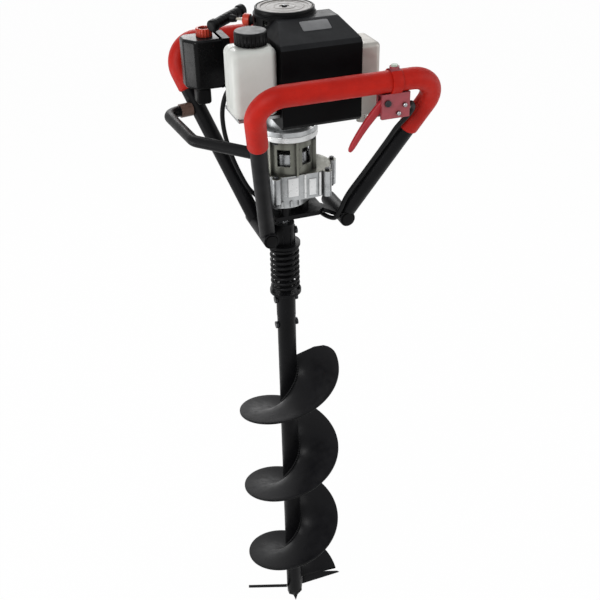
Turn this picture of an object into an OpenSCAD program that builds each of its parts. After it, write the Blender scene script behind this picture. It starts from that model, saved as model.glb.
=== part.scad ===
// Hand-held petrol earth auger, upright on the point of its bit.
// Millimetres, +Z up. The axis of the bit is the Z axis and the point of the bit is the origin.
// The handle bars run along X, and the front bar, with the throttle, is on the -Y side.

/* [Auger bit] */
// Length of the pilot point below the pipe
point_len = 45; // [35:1:60]
// Length of the bit's pipe
pipe_len = 755; // [700:1:850]
// Radius of the bit's pipe
pipe_r = 17.5; // [16:0.5:19]
// Wall of the bit's pipe
pipe_wall = 3.5; // [2.5:0.5:4.5]
// Radius of the flight
flight_r = 100; // [80:1:120]
// Rise of the flight in one turn
flight_pitch = 203; // [160:1:220]
// Thickness of the flight plate
flight_t = 5; // [3:0.5:8]
// Turns of the flight
flight_turns = 3.06; // [2:0.02:3.2]
// Height of the flight's lower end on the pipe
flight_rise = 25; // [24:1:40]
// Direction of the flight's lower end
flight_angle = -4.4; // [-30:0.1:30]
// Width of a cutter blade
blade_w = 27; // [22:1:29]
// Thickness of a cutter blade
blade_t = 6; // [4:0.5:8]
// Slope of a cutter blade
blade_slope = 48; // [40:1:50]

/* [Shock absorber] */
// Travel of the shock absorber
shock_travel = 20; // [10:1:24]
// Radius of the guide rod
guide_r = 11; // [10:0.5:12]
// Length of the sleeve above the pipe, up to the spring
sleeve_len = 57; // [54:1:70]
// Length of the spring between its seats
spring_len = 93; // [80:1:110]
// Radius of the spring to the middle of its wire
spring_r = 24; // [22:0.5:26]
// Radius of the spring's wire
spring_wire_r = 3; // [2:0.25:3.25]
// Turns of the spring
spring_turns = 8; // [5:1:9]
// Radius of the spring seats
seat_r = 29; // [29:0.5:34]
// Thickness of the spring seats
seat_t = 5; // [4:0.5:7]
// Radius of the drive collar
collar_r = 19; // [18:0.5:22]
// Length of the drive collar
collar_len = 40; // [36:1:50]
// Radius of the cross pins
pin_r = 4; // [3:0.25:4.5]

/* [Gearbox] */
// Module of the second gear stage
module_out = 1.4; // [1.3:0.05:1.45]
// Module of the first gear stage
module_in = 1.2; // [1.1:0.05:1.25]
// Teeth of both pinions
pinion_teeth = 10; // [10:1:12]
// Teeth of the output gear
output_teeth = 50; // [46:1:52]
// Teeth of the layshaft gear
lay_teeth = 40; // [36:1:42]
// Room between the gears' tips and the housing
gear_room = 2; // [1:0.25:4]
// Wall of the gear housing
housing_wall = 6; // [4:0.5:7]
// Space between the drive collar and the gearbox
collar_space = 11; // [6:1:16]
// Length of the output boss under the gearbox
boss_len = 20; // [18:1:24]
// Height of the lower gear housing
lower_h = 38; // [37:1:42]
// Thickness of the bearing plate
plate_t = 6; // [5:0.5:8]
// Height of the upper gear housing
upper_h = 30; // [30:1:36]
// Radius of the output shaft
output_r = 10; // [9:0.5:10.5]
// Outer radius of the clutch bell
bell_r = 42; // [40:0.5:46]
// Height of the clutch bell
bell_h = 60; // [58:1:70]
// Width of the flange round the top of the clutch bell
flange_lip = 8; // [7.5:0.5:11]
// Thickness of the flange
flange_t = 10; // [8:0.5:12]
// Thickness of a gear
gear_t = 12; // [9:0.5:12]

/* [Engine] */
// Height of the crankshaft's middle above the flange
crank_rise = 80; // [78:1:90]
// Height of the crankcase above the crankshaft's middle
case_rise = 42; // [41:1:46]
// Outer radius of the crankcase
case_r = 38; // [37:0.5:40]
// Radius of the crank webs
web_r = 29; // [26:0.5:30]
// Thickness of a crank web
web_t = 14; // [12:0.5:15]
// Radius of the crankshaft's journals
journal_r = 7.5; // [6:0.25:8]
// Throw of the crank
throw = 15; // [13:0.5:16]
// Radius of the cylinder's bore
bore_r = 22; // [20:0.25:22.5]
// Radius of the cooling fins
fin_r = 33; // [30:0.5:34]
// Number of cooling fins
fin_count = 6; // [3:1:6]
// Radius of the flywheel
flywheel_r = 48; // [44:0.5:49]
// Outer radius of the fan housing
fan_r = 63; // [62:0.5:66]
// Height of the fan housing
fan_h = 34; // [33:1:38]
// Outer radius of the starter housing
starter_r = 50; // [48:0.5:54]
// Height of the starter housing
starter_h = 38; // [37:1:44]
// Wall of moulded and cast covers
cover_wall = 3; // [2:0.25:3.5]

/* [Cover, tank, filter and muffler] */
// Width of the cylinder cover
cover_w = 130; // [126:1:140]
// Offset of the cylinder cover's middle to the right of the engine's axis
cover_shift = 20; // [18:1:24]
// Distance of the cylinder cover's front from the axis
cover_reach = 112; // [110:1:118]
// Depth of the cylinder cover below the crankshaft's middle
cover_below = 41; // [38:1:46]
// Height of the cylinder cover above the crankshaft's middle
cover_above = 110; // [102:1:113]
// Width of the fuel tank
tank_w = 71; // [66:1:80]
// Depth of the fuel tank
tank_d = 56; // [50:1:60]
// Height of the fuel tank
tank_h = 106; // [96:1:110]
// Outer radius of the filler neck
neck_r = 14.5; // [13:0.5:15]
// Height of the filler neck
neck_h = 14; // [10:1:18]
// Radius of the fuel cap
cap_r = 25; // [22:0.5:26]
// Height of the fuel cap
cap_h = 20; // [18:1:26]
// Width of the air filter box
filter_w = 62; // [56:1:66]
// Depth of the air filter box
filter_d = 52; // [48:1:56]
// Height of the air filter box
filter_h = 82; // [74:1:90]
// Width of the muffler
muffler_w = 46; // [36:1:50]
// Depth of the muffler
muffler_d = 66; // [56:1:70]
// Height of the muffler
muffler_h = 118; // [100:1:122]
// Radius of the muffler's outlet bore
outlet_r = 7; // [5:0.25:8]

/* [Frame] */
// Radius of the frame tubes
tube_r = 13.75; // [12:0.25:14.5]
// Wall of the frame tubes
tube_wall = 2; // [1.5:0.25:3]
// Thickness of the foam on the grips
foam_t = 2.45; // [2:0.05:5]
// Radius of the tubes' bends, on their middle line
bend_r = 40; // [34:1:42]
// Height of the handle bars above the base plate
bar_rise = 259; // [250:1:270]
// Distance of the front bar from the axis
front_reach = 166; // [160:1:175]
// Distance of the rear bar from the axis
rear_reach = 166; // [160:1:175]
// Radius of the side rail
rail_r = 9.5; // [8:0.25:10.5]
// Height of the side rail above the base plate
rail_rise = 154; // [150:1:160]
// Thickness of the base plate
base_t = 8; // [6:0.5:9]

/* [Controls] */
// Length of the throttle lever from its pivot
lever_len = 92; // [80:1:98]
// Thickness of the throttle lever
lever_t = 9; // [7:0.5:10]
// Angle of the throttle lever below the bar at rest
lever_drop = 49; // [46:1:54]
// Width of the throttle bracket
bracket_w = 46; // [42:1:52]
// Height of the throttle bracket below the grip
bracket_h = 38; // [34:1:42]
// Length of the starter grip
pull_len = 68; // [60:1:76]
// Radius of the starter grip
pull_r = 8.5; // [7.5:0.25:9.25]

/* [Clearances] */
// Gap between pieces that move past each other
gap = 0.3; // [0.2:0.05:0.4]
// Gap between pieces that are fastened together round a curve
seat_gap = 0.1; // [0.1:0.02:0.16]
// Running clearance of a shaft in its bearing
run_fit = 0.05; // [0.02:0.01:0.08]

/* [Hidden] */
$fn = 64;
over = 1;

// Heights of the stack, from the point of the bit upwards.
pipe_low_z = point_len;
pipe_top_z = pipe_low_z + pipe_len;
seat_low_z = pipe_top_z + sleeve_len;
seat_high_z = seat_low_z + spring_len;
collar_low_z = seat_high_z + seat_t;
collar_top_z = collar_low_z + collar_len;
boss_low_z = collar_top_z + collar_space;
housing_low_z = boss_low_z + boss_len;
plate_low_z = housing_low_z + lower_h;
upper_low_z = plate_low_z + plate_t;
housing_top_z = upper_low_z + upper_h;
flange_low_z = housing_top_z + bell_h;
engine_low_z = flange_low_z + flange_t;
crank_z = engine_low_z + crank_rise;
case_top_z = crank_z + case_rise;
fan_top_z = case_top_z + fan_h;
starter_top_z = fan_top_z + starter_h;

flange_r = bell_r + flange_lip;

// Gear train: the output shaft on the axis, the layshaft beside it, and the engine between the two.
pressure = 25;
addendum = 0.8;
dedendum = 1.15;
backlash = 0.3;
lay_x = module_out * (pinion_teeth + output_teeth) / 2;
engine_x = lay_x - module_in * (pinion_teeth + lay_teeth) / 2;
housing_in_r = module_out * (output_teeth / 2 + addendum) + gear_room;
housing_r = housing_in_r + housing_wall;

function unit(v) = v / norm(v);
function along(a, b, s) = a + unit(b - a) * s;

// A solid bar from one point to another.
module bar(a, b, r) {
    d = b - a;
    translate(a)
        rotate([0, acos(d.z / norm(d)), atan2(d.y, d.x)])
            cylinder(h = norm(d), r = r);
}

module ring(r_out, r_in, z_low, z_high) {
    translate([0, 0, z_low])
        linear_extrude(z_high - z_low)
            difference() {
                circle(r_out);
                circle(r_in);
            }
}

module disc(r, z_low, z_high) {
    translate([0, 0, z_low])
        cylinder(h = z_high - z_low, r = r);
}

// Moves its children to the engine's axis.
module at_engine() {
    translate([engine_x, 0, 0])
        children();
}

// A box between two corners.
module block(low, high) {
    translate(low)
        cube(high - low);
}

// A box with all its edges rounded.
module soft_block(low, high, r) {
    size = high - low;
    translate(low)
        hull()
            for (x = [r, size.x - r], y = [r, size.y - r], z = [r, size.z - r])
                translate([x, y, z])
                    sphere(r, $fn = 24);
}

function turn_angle(a, b, c) = acos(unit(b - a) * unit(c - b));
function bend_cut(a, b, c, r) = r * tan(turn_angle(a, b, c) / 2);

// A bent tube from corner i onwards: a straight run along +Z, a bend towards +X, and so on.
// A bend's wall is a hair thicker than a straight run's, and the run laps into it.
bend_lip = 0.15;
bend_lap = 2;
module tube_from(points, i, across, r_bend, r_out, r_in) {
    a = points[i];
    b = points[i + 1];
    way = unit(b - a);
    is_last = i == len(points) - 2;
    cut_in = i == 0 ? 0 : bend_cut(points[i - 1], a, b, r_bend);
    cut_out = is_last ? 0 : bend_cut(a, b, points[i + 2], r_bend);
    run = norm(b - a) - cut_in - cut_out;
    ring(r_out, r_in, i == 0 ? 0 : -bend_lap, is_last ? run : run + bend_lap);
    if (!is_last) {
        next = unit(points[i + 2] - b);
        turn = turn_angle(a, b, points[i + 2]);
        inward = unit(next - way * (way * next));
        roll = atan2(inward * cross(way, across), inward * across);
        translate([0, 0, run])
            rotate([0, 0, roll])
                translate([r_bend, 0, 0]) {
                    rotate([90, 0, 180])
                        rotate_extrude(angle = turn)
                            translate([r_bend, 0])
                                difference() {
                                    circle(r_out + bend_lip);
                                    circle(r_in - bend_lip);
                                }
                    rotate([0, turn, 0])
                        translate([-r_bend, 0, 0])
                            tube_from(points, i + 1, cos(turn) * inward - sin(turn) * way,
                                r_bend, r_out, r_in);
                }
    }
}

// A tube along a row of corner points, with a bend at each inner corner.
module bent_tube(points, r_bend, r_out, r_in) {
    way = unit(points[1] - points[0]);
    tilt = acos(way.z);
    spin = atan2(way.y, way.x);
    translate(points[0])
        rotate([0, tilt, spin])
            tube_from(points, 0, [cos(tilt) * cos(spin), cos(tilt) * sin(spin), -sin(tilt)],
                r_bend, r_out, r_in);
}

// A round cord swept along a row of points, as rings of corners.
function smooth_point(p, i, t) =
    let (a = p[max(i - 1, 0)], b = p[i], c = p[i + 1], d = p[min(i + 2, len(p) - 1)])
    0.5 * (2 * b + (c - a) * t + (2 * a - 5 * b + 4 * c - d) * t * t + (3 * b - a - 3 * c + d) * t * t * t);
function smooth_path(p, steps) =
    [for (i = [0 : len(p) - 2], k = [0 : steps - 1]) smooth_point(p, i, k / steps), p[len(p) - 1]];
function path_way(p, i) = unit(p[min(i + 1, len(p) - 1)] - p[max(i - 1, 0)]);
function side_of(way) = unit(cross(way, abs(way.z) < 0.8 ? [0, 0, 1] : [1, 0, 0]));
function carried(side, way) = unit(side - way * (side * way));
function path_sides(p, i, side) =
    i >= len(p) ? [] : let (now = carried(side, path_way(p, i))) concat([now], path_sides(p, i + 1, now));

module cord(path, r, sides) {
    across = path_sides(path, 0, side_of(path_way(path, 0)));
    last = len(path) - 1;
    corners = [for (i = [0 : last], k = [0 : sides - 1])
        let (up = cross(path_way(path, i), across[i]))
        path[i] + r * (cos(360 * k / sides) * across[i] + sin(360 * k / sides) * up)];
    walls = [for (i = [0 : last - 1], k = [0 : sides - 1], half = [0, 1])
        let (a = i * sides + k, b = i * sides + (k + 1) % sides)
        half == 0 ? [a, a + sides, b] : [b, a + sides, b + sides]];
    ends = concat([for (k = [1 : sides - 2]) [0, k, k + 1]],
                  [for (k = [1 : sides - 2]) [last * sides, last * sides + k + 1, last * sides + k]]);
    polyhedron(points = corners, faces = concat(walls, ends));
}

// Auger bit.
flight_low_z = pipe_low_z + flight_rise;
flight_steps = 30;
blade_lead = 15;
blade_reach = 5;
blade_z = flight_low_z - seat_gap - blade_w * sin(blade_slope);
pipe_bore_r = pipe_r - pipe_wall;
spigot_len = 40;
sleeve_r = pipe_r + 0.5;
auger_pin_z = pipe_top_z - spigot_len / 2;
guide_end_z = pipe_top_z + shock_travel + 4;
guide_pin_z = guide_end_z + 12;

module auger_pipe() {
    color("#2b2b2d")
        difference() {
            ring(pipe_r, pipe_bore_r, pipe_low_z, pipe_top_z);
            bar([-pipe_r - over, 0, auger_pin_z], [pipe_r + over, 0, auger_pin_z], pin_r + run_fit);
        }
}

// A plate that climbs round the pipe.
module auger_flight() {
    step = 360 / flight_steps;
    count = round(flight_turns * flight_steps);
    inner = (pipe_r + seat_gap) / cos(step / 2);
    corners = [for (i = [0 : count])
        let (a = flight_angle + i * step, z = flight_low_z + flight_pitch * i / flight_steps)
        each [for (c = [[inner, 0], [flight_r, 0], [flight_r, flight_t], [inner, flight_t]])
            [c[0] * cos(a), c[0] * sin(a), z + c[1]]]];
    walls = [for (i = [0 : count - 1], k = [0 : 3])
        let (a = i * 4 + k, b = i * 4 + (k + 1) % 4)
        each [[a, b, a + 4], [b, b + 4, a + 4]]];
    e = count * 4;
    color("#29292b")
        polyhedron(points = corners,
            faces = concat(walls, [[0, 2, 1], [0, 3, 2], [e, e + 1, e + 2], [e, e + 2, e + 3]]));
}

// Two sloping blades with swept leading edges.
module cutter_blades() {
    color("#343438")
        for (side = [0, 180])
            rotate([0, 0, flight_angle - blade_lead + side])
                translate([0, 0, blade_z])
                    rotate([blade_slope, 0, 0])
                        translate([0, 0, -blade_t])
                            linear_extrude(blade_t)
                                polygon([[pipe_r + seat_gap, 0],
                                    [flight_r + blade_reach, blade_w - blade_reach / 2],
                                    [flight_r, blade_w], [pipe_r + seat_gap, blade_w]]);
}

// A spear point on a plug in the pipe's lower end.
module pilot_point() {
    plug_len = 22;
    point_r = pipe_r - 2;
    point_t = 12;
    neck_w = 5;
    neck_z = point_len * 0.4;
    shoulder_z = point_len * 0.62;
    edge_t = 1;
    edge_slope = 10;
    color("#3a3a3c") {
        disc(pipe_bore_r - seat_gap, pipe_low_z - over, pipe_low_z + plug_len);
        difference() {
            translate([0, point_t / 2, 0])
                rotate([90, 0, 0])
                    linear_extrude(point_t)
                        polygon([[-point_r, pipe_low_z], [-point_r, shoulder_z], [-neck_w, neck_z], [0, 0],
                            [neck_w, neck_z], [point_r, shoulder_z], [point_r, pipe_low_z]]);
            for (side = [0, 180])
                rotate([0, 0, side])
                    translate([0, edge_t, 0])
                        rotate([-edge_slope, 0, 0])
                            block([0, 0, -point_len], [2 * pipe_r, pipe_r, 2 * point_len]);
        }
    }
}

// Shock absorber between the gearbox and the bit.
module lower_sleeve() {
    color("#2b2b2d")
        difference() {
            union() {
                disc(pipe_bore_r - seat_gap, pipe_top_z - spigot_len, pipe_top_z);
                disc(sleeve_r, pipe_top_z, seat_low_z);
                disc(seat_r, seat_low_z - seat_t, seat_low_z);
            }
            disc(guide_r + run_fit, pipe_top_z, seat_low_z + over);
            for (z = [auger_pin_z, guide_pin_z])
                bar([-seat_r, 0, z], [seat_r, 0, z], pin_r + run_fit);
        }
}

module cross_pin(z, reach) {
    head_r = pin_r * 1.7;
    head_t = pin_r;
    bar([-reach, 0, z], [reach, 0, z], pin_r);
    bar([reach, 0, z], [reach + head_t, 0, z], head_r);
    bar([-reach - head_t, 0, z], [-reach, 0, z], head_r);
}

module coupling_pins() {
    color("#8d8f92") {
        cross_pin(auger_pin_z, pipe_r + seat_gap);
        cross_pin(guide_pin_z, sleeve_r + seat_gap);
    }
}

// The collar on the output shaft, its spring seat and the guide rod below them.
module drive_collar() {
    slot_w = pin_r + gap;
    color("#333336")
        difference() {
            union() {
                disc(collar_r, collar_low_z, collar_top_z);
                disc(seat_r, seat_high_z, collar_low_z);
                disc(guide_r, guide_end_z, collar_low_z);
                for (a = [0 : 45 : 315])
                    rotate([0, 0, a + 22.5])
                        block([collar_r - 2, -1.5, collar_low_z], [collar_r + 1, 1.5, collar_top_z - 6]);
            }
            disc(output_r + seat_gap, collar_low_z + 4, collar_top_z + over);
            bar([-2 * collar_r, 0, collar_bolt_z], [2 * collar_r, 0, collar_bolt_z], pin_r + run_fit);
            block([-guide_r - over, -slot_w, guide_pin_z - pin_r - gap],
                [guide_r + over, slot_w, guide_pin_z + shock_travel + pin_r + gap]);
        }
}
collar_bolt_z = collar_low_z + collar_len / 2;

module collar_bolt() {
    color("#77797c")
        cross_pin(collar_bolt_z, collar_r + 1 + seat_gap);
}

// Spring: one wire whose ends run straight for one wire diameter.
spring_rings = 8;
spring_sides = 6;
spring_rest = spring_wire_r + seat_gap;
spring_steps = spring_turns * spring_rings;
function spring_at(i) =
    let (a = 360 * i / spring_rings)
    [spring_r * cos(a), spring_r * sin(a),
        seat_low_z + spring_rest + (spring_len - 2 * spring_rest) * i / spring_steps];
spring_path = concat([spring_at(0) - [0, 2 * spring_wire_r, 0]], [for (i = [0 : spring_steps]) spring_at(i)],
    [spring_at(spring_steps) + [0, 2 * spring_wire_r, 0]]);
spring_gap = min([for (i = [0 : len(spring_path) - 1], j = [i + spring_rings / 2 : len(spring_path) - 1])
    norm(spring_path[i] - spring_path[j])]) - 2 * spring_wire_r;
echo(spring_gap = spring_gap);

module shock_spring() {
    color("#26262a")
        cord(spring_path, spring_wire_r, spring_sides);
}

// Gears with involute flanks.
function involute(angle) = tan(angle) * 180 / PI - angle;
function flank_angle(m, teeth, r) =
    90 / teeth - backlash / 2 / (m * teeth / 2) * 90 / PI + involute(pressure)
    - involute(acos(min(1, m * teeth / 2 * cos(pressure) / r)));
module gear_outline(m, teeth) {
    pitch_r = m * teeth / 2;
    root_r = pitch_r - dedendum * m;
    tip_r = pitch_r + addendum * m;
    base_r = max(root_r, pitch_r * cos(pressure));
    radii = [root_r, for (k = [0 : 3]) base_r + (tip_r - base_r) * k / 3 + (k == 0 ? 0.01 : 0)];
    polygon([for (i = [0 : teeth - 1])
        let (middle = 360 * i / teeth)
        each concat(
            [for (r = radii) let (a = middle - flank_angle(m, teeth, max(r, base_r))) r * [cos(a), sin(a)]],
            [for (k = [len(radii) - 1 : -1 : 0])
                let (r = radii[k], a = middle + flank_angle(m, teeth, max(r, base_r)))
                r * [cos(a), sin(a)]])]);
}

bowl_low_z = housing_low_z + 16;
out_gear_z = bowl_low_z + 10.5;
in_gear_z = upper_low_z + 4;
roof_z = housing_top_z - 12;
lay_bearing_low_z = bowl_low_z + 2;
lay_bearing_r = 11;
lay_bearing_t = 7;
lay_journal_r = 4;
in_bearing_r = 13;
in_shaft_r = 5;
top_journal_r = 7;
boss_r = 20;
out_bearing_r = 16;
out_bearing_t = 12;

// The lower casting's outline: round about the output shaft, with a lobe about the layshaft.
lobe_in_r = module_out * (pinion_teeth / 2 + addendum) + gear_room;
shoulder_z = plate_low_z - 10;
module bowl(wall, z_low, z_high) {
    round_r = housing_in_r + wall;
    lobe_r = lobe_in_r + wall;
    lean = acos((round_r - lobe_r) / lay_x);
    translate([0, 0, z_low])
        linear_extrude(z_high - z_low) {
            circle(round_r);
            translate([lay_x, 0])
                circle(lobe_r);
            polygon([round_r * [cos(lean), sin(lean)], round_r * [cos(lean), -sin(lean)],
                [lay_x, 0] + lobe_r * [cos(lean), -sin(lean)], [lay_x, 0] + lobe_r * [cos(lean), sin(lean)]]);
        }
}

// The upper housing's outline: a round end about each shaft.
module housing_plan(r) {
    circle(r);
    translate([lay_x, 0])
        circle(r);
    translate([0, -r])
        square([lay_x, 2 * r]);
}

ear_r = 7.5;
ear_reach = housing_r + 5;
ear_places = [for (a = [120, 240]) ear_reach * [cos(a), sin(a)],
    for (a = [-60, 0, 60]) [lay_x, 0] + ear_reach * [cos(a), sin(a)]];
screw_r = 2.5;
screw_head_r = 4.2;

module housing_slab(z_low, z_high) {
    translate([0, 0, z_low])
        linear_extrude(z_high - z_low)
            difference() {
                union() {
                    housing_plan(housing_r);
                    for (p = ear_places)
                        translate(p)
                            circle(ear_r);
                }
                for (p = ear_places)
                    translate(p)
                        circle(screw_r + seat_gap);
            }
}

module gear_room_cut(z_low, z_high) {
    translate([0, 0, z_low])
        linear_extrude(z_high - z_low)
            housing_plan(housing_in_r);
}

base_bolts = [[-8, -34], [32, -20], [32, 20], [-8, 34]];
module gearbox_lower() {
    floor_z = bowl_low_z + housing_wall;
    color("#c9cbcc")
        difference() {
            union() {
                difference() {
                    union() {
                        bowl(housing_wall, bowl_low_z, shoulder_z + 1);
                        housing_slab(shoulder_z, plate_low_z);
                        rib_marks();
                    }
                    bowl(0, floor_z, plate_low_z + over);
                }
                disc(boss_r, boss_low_z, floor_z);
                translate([lay_x, 0, 0])
                    disc(lay_bearing_r + 4, floor_z - 1, lay_bearing_low_z + lay_bearing_t);
            }
            disc(out_bearing_r + seat_gap, housing_low_z - 6, floor_z + over);
            disc(output_r + 2, boss_low_z - over, floor_z);
            translate([lay_x, 0, 0])
                disc(lay_bearing_r + seat_gap, lay_bearing_low_z, lay_bearing_low_z + lay_bearing_t + over);
            for (p = base_bolts)
                translate(p)
                    disc(screw_r + seat_gap, bowl_low_z - over, floor_z + over);
        }
}

// Upright ribs on the outside of the bowl.
rib_t = 4;
rib_reach = 2.5;
module rib_marks() {
    for (a = [70 : 20 : 290])
        rotate([0, 0, a])
            block([housing_r - rib_t, -rib_t / 2, bowl_low_z + rib_t / 2],
                [housing_r + rib_reach, rib_t / 2, shoulder_z + 1]);
}

module bearing_plate() {
    color("#b4b7b9")
        difference() {
            housing_slab(plate_low_z, upper_low_z);
            disc(out_bearing_r - 2 + seat_gap, plate_low_z - over, upper_low_z + over);
            translate([lay_x, 0, 0])
                disc(lay_bearing_r, plate_low_z - over, upper_low_z + over);
        }
}

module gearbox_upper() {
    neck_floor_z = housing_top_z + 2;
    color("#c4c6c8")
        difference() {
            union() {
                difference() {
                    housing_slab(upper_low_z, housing_top_z);
                    gear_room_cut(upper_low_z - over, roof_z);
                }
                at_engine() {
                    disc(bell_r, housing_top_z - 4, flange_low_z + over);
                    disc(flange_r, flange_low_z, engine_low_z);
                    for (a = [0 : 60 : 300])
                        rotate([0, 0, a + 30])
                            block([bell_r - 2, -2, housing_top_z - 2], [flange_r - 2, 2, flange_low_z + 1]);
                }
            }
            at_engine() {
                disc(bell_r - cover_wall, neck_floor_z, engine_low_z + over);
                disc(in_bearing_r + seat_gap, housing_top_z - 10, neck_floor_z + over);
                disc(in_shaft_r + 2, roof_z - over, neck_floor_z);
                for (a = flange_angles)
                    rotate([0, 0, a])
                        translate([flange_bolt_r, 0, 0])
                            disc(screw_r + seat_gap, flange_low_z - over, engine_low_z + over);
                for (a = [0 : 60 : 300])
                    rotate([0, 0, a])
                        block([bell_r - 2 * cover_wall, -window_w / 2, housing_top_z + window_edge],
                            [bell_r + over, window_w / 2, flange_low_z - window_edge]);
            }
            translate([lay_x, 0, 0])
                disc(lay_bearing_r + seat_gap, roof_z - over, roof_z + lay_bearing_t);
        }
}
window_w = 22;
window_edge = 15;
flange_angles = [45, 135, 225, 315];
flange_bolt_r = flange_r - 3.5;

module bearing(r_out, r_in, z, t) {
    ring(r_out, r_in + run_fit, z, z + t);
}

module gear_bearings() {
    color("#d6d8da") {
        bearing(out_bearing_r, output_r, housing_low_z - 6, out_bearing_t);
        bearing(out_bearing_r - 2, top_journal_r, plate_low_z, plate_t);
        translate([lay_x, 0, 0]) {
            bearing(lay_bearing_r, lay_journal_r, lay_bearing_low_z, lay_bearing_t);
            bearing(lay_bearing_r, lay_journal_r, roof_z, lay_bearing_t);
        }
        at_engine()
            bearing(in_bearing_r, in_shaft_r, housing_top_z - 10, 10);
    }
}

module output_shaft() {
    color("#9b9ea1")
        difference() {
            union() {
                disc(output_r, collar_low_z + 4 + seat_gap, plate_low_z - 4);
                disc(top_journal_r, plate_low_z - 5, upper_low_z);
            }
            bar([-2 * output_r, 0, collar_bolt_z], [2 * output_r, 0, collar_bolt_z], pin_r + run_fit);
        }
}

module output_gear() {
    color("#a3a6a9")
        difference() {
            translate([0, 0, out_gear_z])
                linear_extrude(gear_t - 2)
                    gear_outline(module_out, output_teeth);
            disc(output_r + seat_gap, out_gear_z - over, out_gear_z + gear_t + over);
        }
}

// The output gear's pinion and the first stage's gear, on one shaft.
module layshaft() {
    color("#9fa2a5")
        translate([lay_x, 0, 0]) {
            translate([0, 0, out_gear_z - 1])
                rotate([0, 0, 180 + 180 / pinion_teeth])
                    linear_extrude(gear_t)
                        gear_outline(module_out, pinion_teeth);
            translate([0, 0, in_gear_z])
                linear_extrude(gear_t - 2)
                    rotate([0, 0, 180])
                        gear_outline(module_in, lay_teeth);
            disc(lay_journal_r, lay_bearing_low_z + 1, roof_z + lay_bearing_t - 1);
            disc(lay_journal_r + 1, lay_bearing_low_z + lay_bearing_t + gap, roof_z - gap);
        }
}

module input_pinion() {
    color("#a8abad")
        at_engine() {
            translate([0, 0, in_gear_z - 1])
                rotate([0, 0, 180 / pinion_teeth])
                    linear_extrude(gear_t)
                        gear_outline(module_in, pinion_teeth);
            disc(in_shaft_r, in_gear_z + gear_t - 2, drum_floor_z + drum_wall);
        }
}

// Clutch: shoes on the crankshaft inside a drum on the gearbox's input shaft.
drum_wall = 3;
drum_floor_z = housing_top_z + 8;
drum_r = bell_r - cover_wall - 3;
drum_h = 26;
shoe_z = drum_floor_z + drum_wall + 3;
shoe_h = drum_h - 10;
clutch_r = 6;
module clutch_drum() {
    color("#8f9295")
        at_engine()
            difference() {
                union() {
                    ring(drum_r, drum_r - drum_wall, drum_floor_z, drum_floor_z + drum_h);
                    disc(drum_r - 1, drum_floor_z, drum_floor_z + drum_wall);
                    disc(in_shaft_r + 4, housing_top_z + gap, drum_floor_z + 1);
                }
                disc(in_shaft_r + seat_gap, housing_top_z, drum_floor_z + drum_wall + over);
            }
}

module clutch_shoes() {
    shoe_r = drum_r - drum_wall - 1;
    color("#6f6a63")
        at_engine()
            difference() {
                disc(shoe_r, shoe_z, shoe_z + shoe_h);
                disc(clutch_r + seat_gap, shoe_z - over, shoe_z + shoe_h + over);
                for (side = [-1, 1])
                    translate([side * (shoe_r * 0.62), 0, 0])
                        disc(shoe_r * 0.24, shoe_z - over, shoe_z + shoe_h + over);
                for (side = [0, 180])
                    rotate([0, 0, side])
                        block([clutch_r + 4, shoe_r * 0.42, shoe_z - over],
                            [shoe_r, shoe_r * 0.5, shoe_z + shoe_h + over]);
            }
}

// Engine: crankshaft upright on the engine's axis, cylinder towards the front.
case_gap = 1;
web_gap = 11;
main_bearing_r = 17.5;
main_bearing_t = 11;
main_bearing_z = web_gap / 2 + web_t + 2;
seat_front_y = -44;
seat_w = 60;
barrel_r = 27;
head_y = -90;
exhaust_y = -68;
port_end_x = engine_x + fin_r + 1;
port_r = 9;
port_wall = 5;
pad_x = engine_x - 14;
pad_y = case_r + 2;
pad_w = 34;
pad_h = 34;
intake_r = 9;
shelf_low_z = crank_z - 24;
shelf_t = 5;
shelf_inset = 7;
shelf_end_x = engine_x - seat_w / 2 + 2;
shelf_rib_x = shelf_end_x - 12;
shelf_rib_h = 14;

// What both crankcase halves are cut from.
module case_form(z_low, z_high) {
    at_engine()
        disc(case_r, z_low, z_high);
    at_engine()
        block([-seat_w / 2, seat_front_y, max(z_low, crank_z - 30)],
            [seat_w / 2, -10, min(z_high, crank_z + 30)]);
    block([pad_x - pad_w / 2, 10, max(z_low, crank_z - pad_h / 2)],
        [pad_x + pad_w / 2, pad_y, min(z_high, crank_z + pad_h / 2)]);
}

module case_room() {
    at_engine() {
        disc(web_r + case_gap, crank_z - main_bearing_z, crank_z + main_bearing_z);
        disc(main_bearing_r + seat_gap, crank_z - main_bearing_z - main_bearing_t,
            crank_z + main_bearing_z + main_bearing_t);
        disc(journal_r + 1.5, engine_low_z - over, case_top_z + over);
    }
    bar([engine_x, seat_front_y - over, crank_z], [engine_x, 0, crank_z], bore_r + 1.2);
    bar([pad_x, 0, crank_z], [pad_x, pad_y + over, crank_z], intake_r);
}

module crankcase_lower() {
    color("#b9bcbe")
        difference() {
            union() {
                case_form(engine_low_z, crank_z);
                at_engine()
                    disc(flange_r, engine_low_z, engine_low_z + 8);
                block([tank_right_x - tank_w + shelf_inset, tank_front_y + shelf_inset, shelf_low_z],
                    [shelf_end_x, seat_front_y + 20, shelf_low_z + shelf_t]);
                block([shelf_rib_x, seat_front_y, shelf_low_z - shelf_rib_h],
                    [shelf_end_x, seat_front_y + 20, shelf_low_z + 1]);
            }
            case_room();
            at_engine()
                for (a = flange_angles)
                    rotate([0, 0, a])
                        translate([flange_bolt_r, 0, 0])
                            disc(screw_r + seat_gap, engine_low_z - over, engine_low_z + 20);
        }
}

module crankcase_upper() {
    color("#b4b7b9")
        difference() {
            case_form(crank_z, case_top_z);
            case_room();
        }
}

module engine_bearings() {
    color("#d6d8da")
        at_engine()
            for (z = [crank_z - main_bearing_z - main_bearing_t, crank_z + main_bearing_z])
                bearing(main_bearing_r, journal_r, z, main_bearing_t);
}

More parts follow.
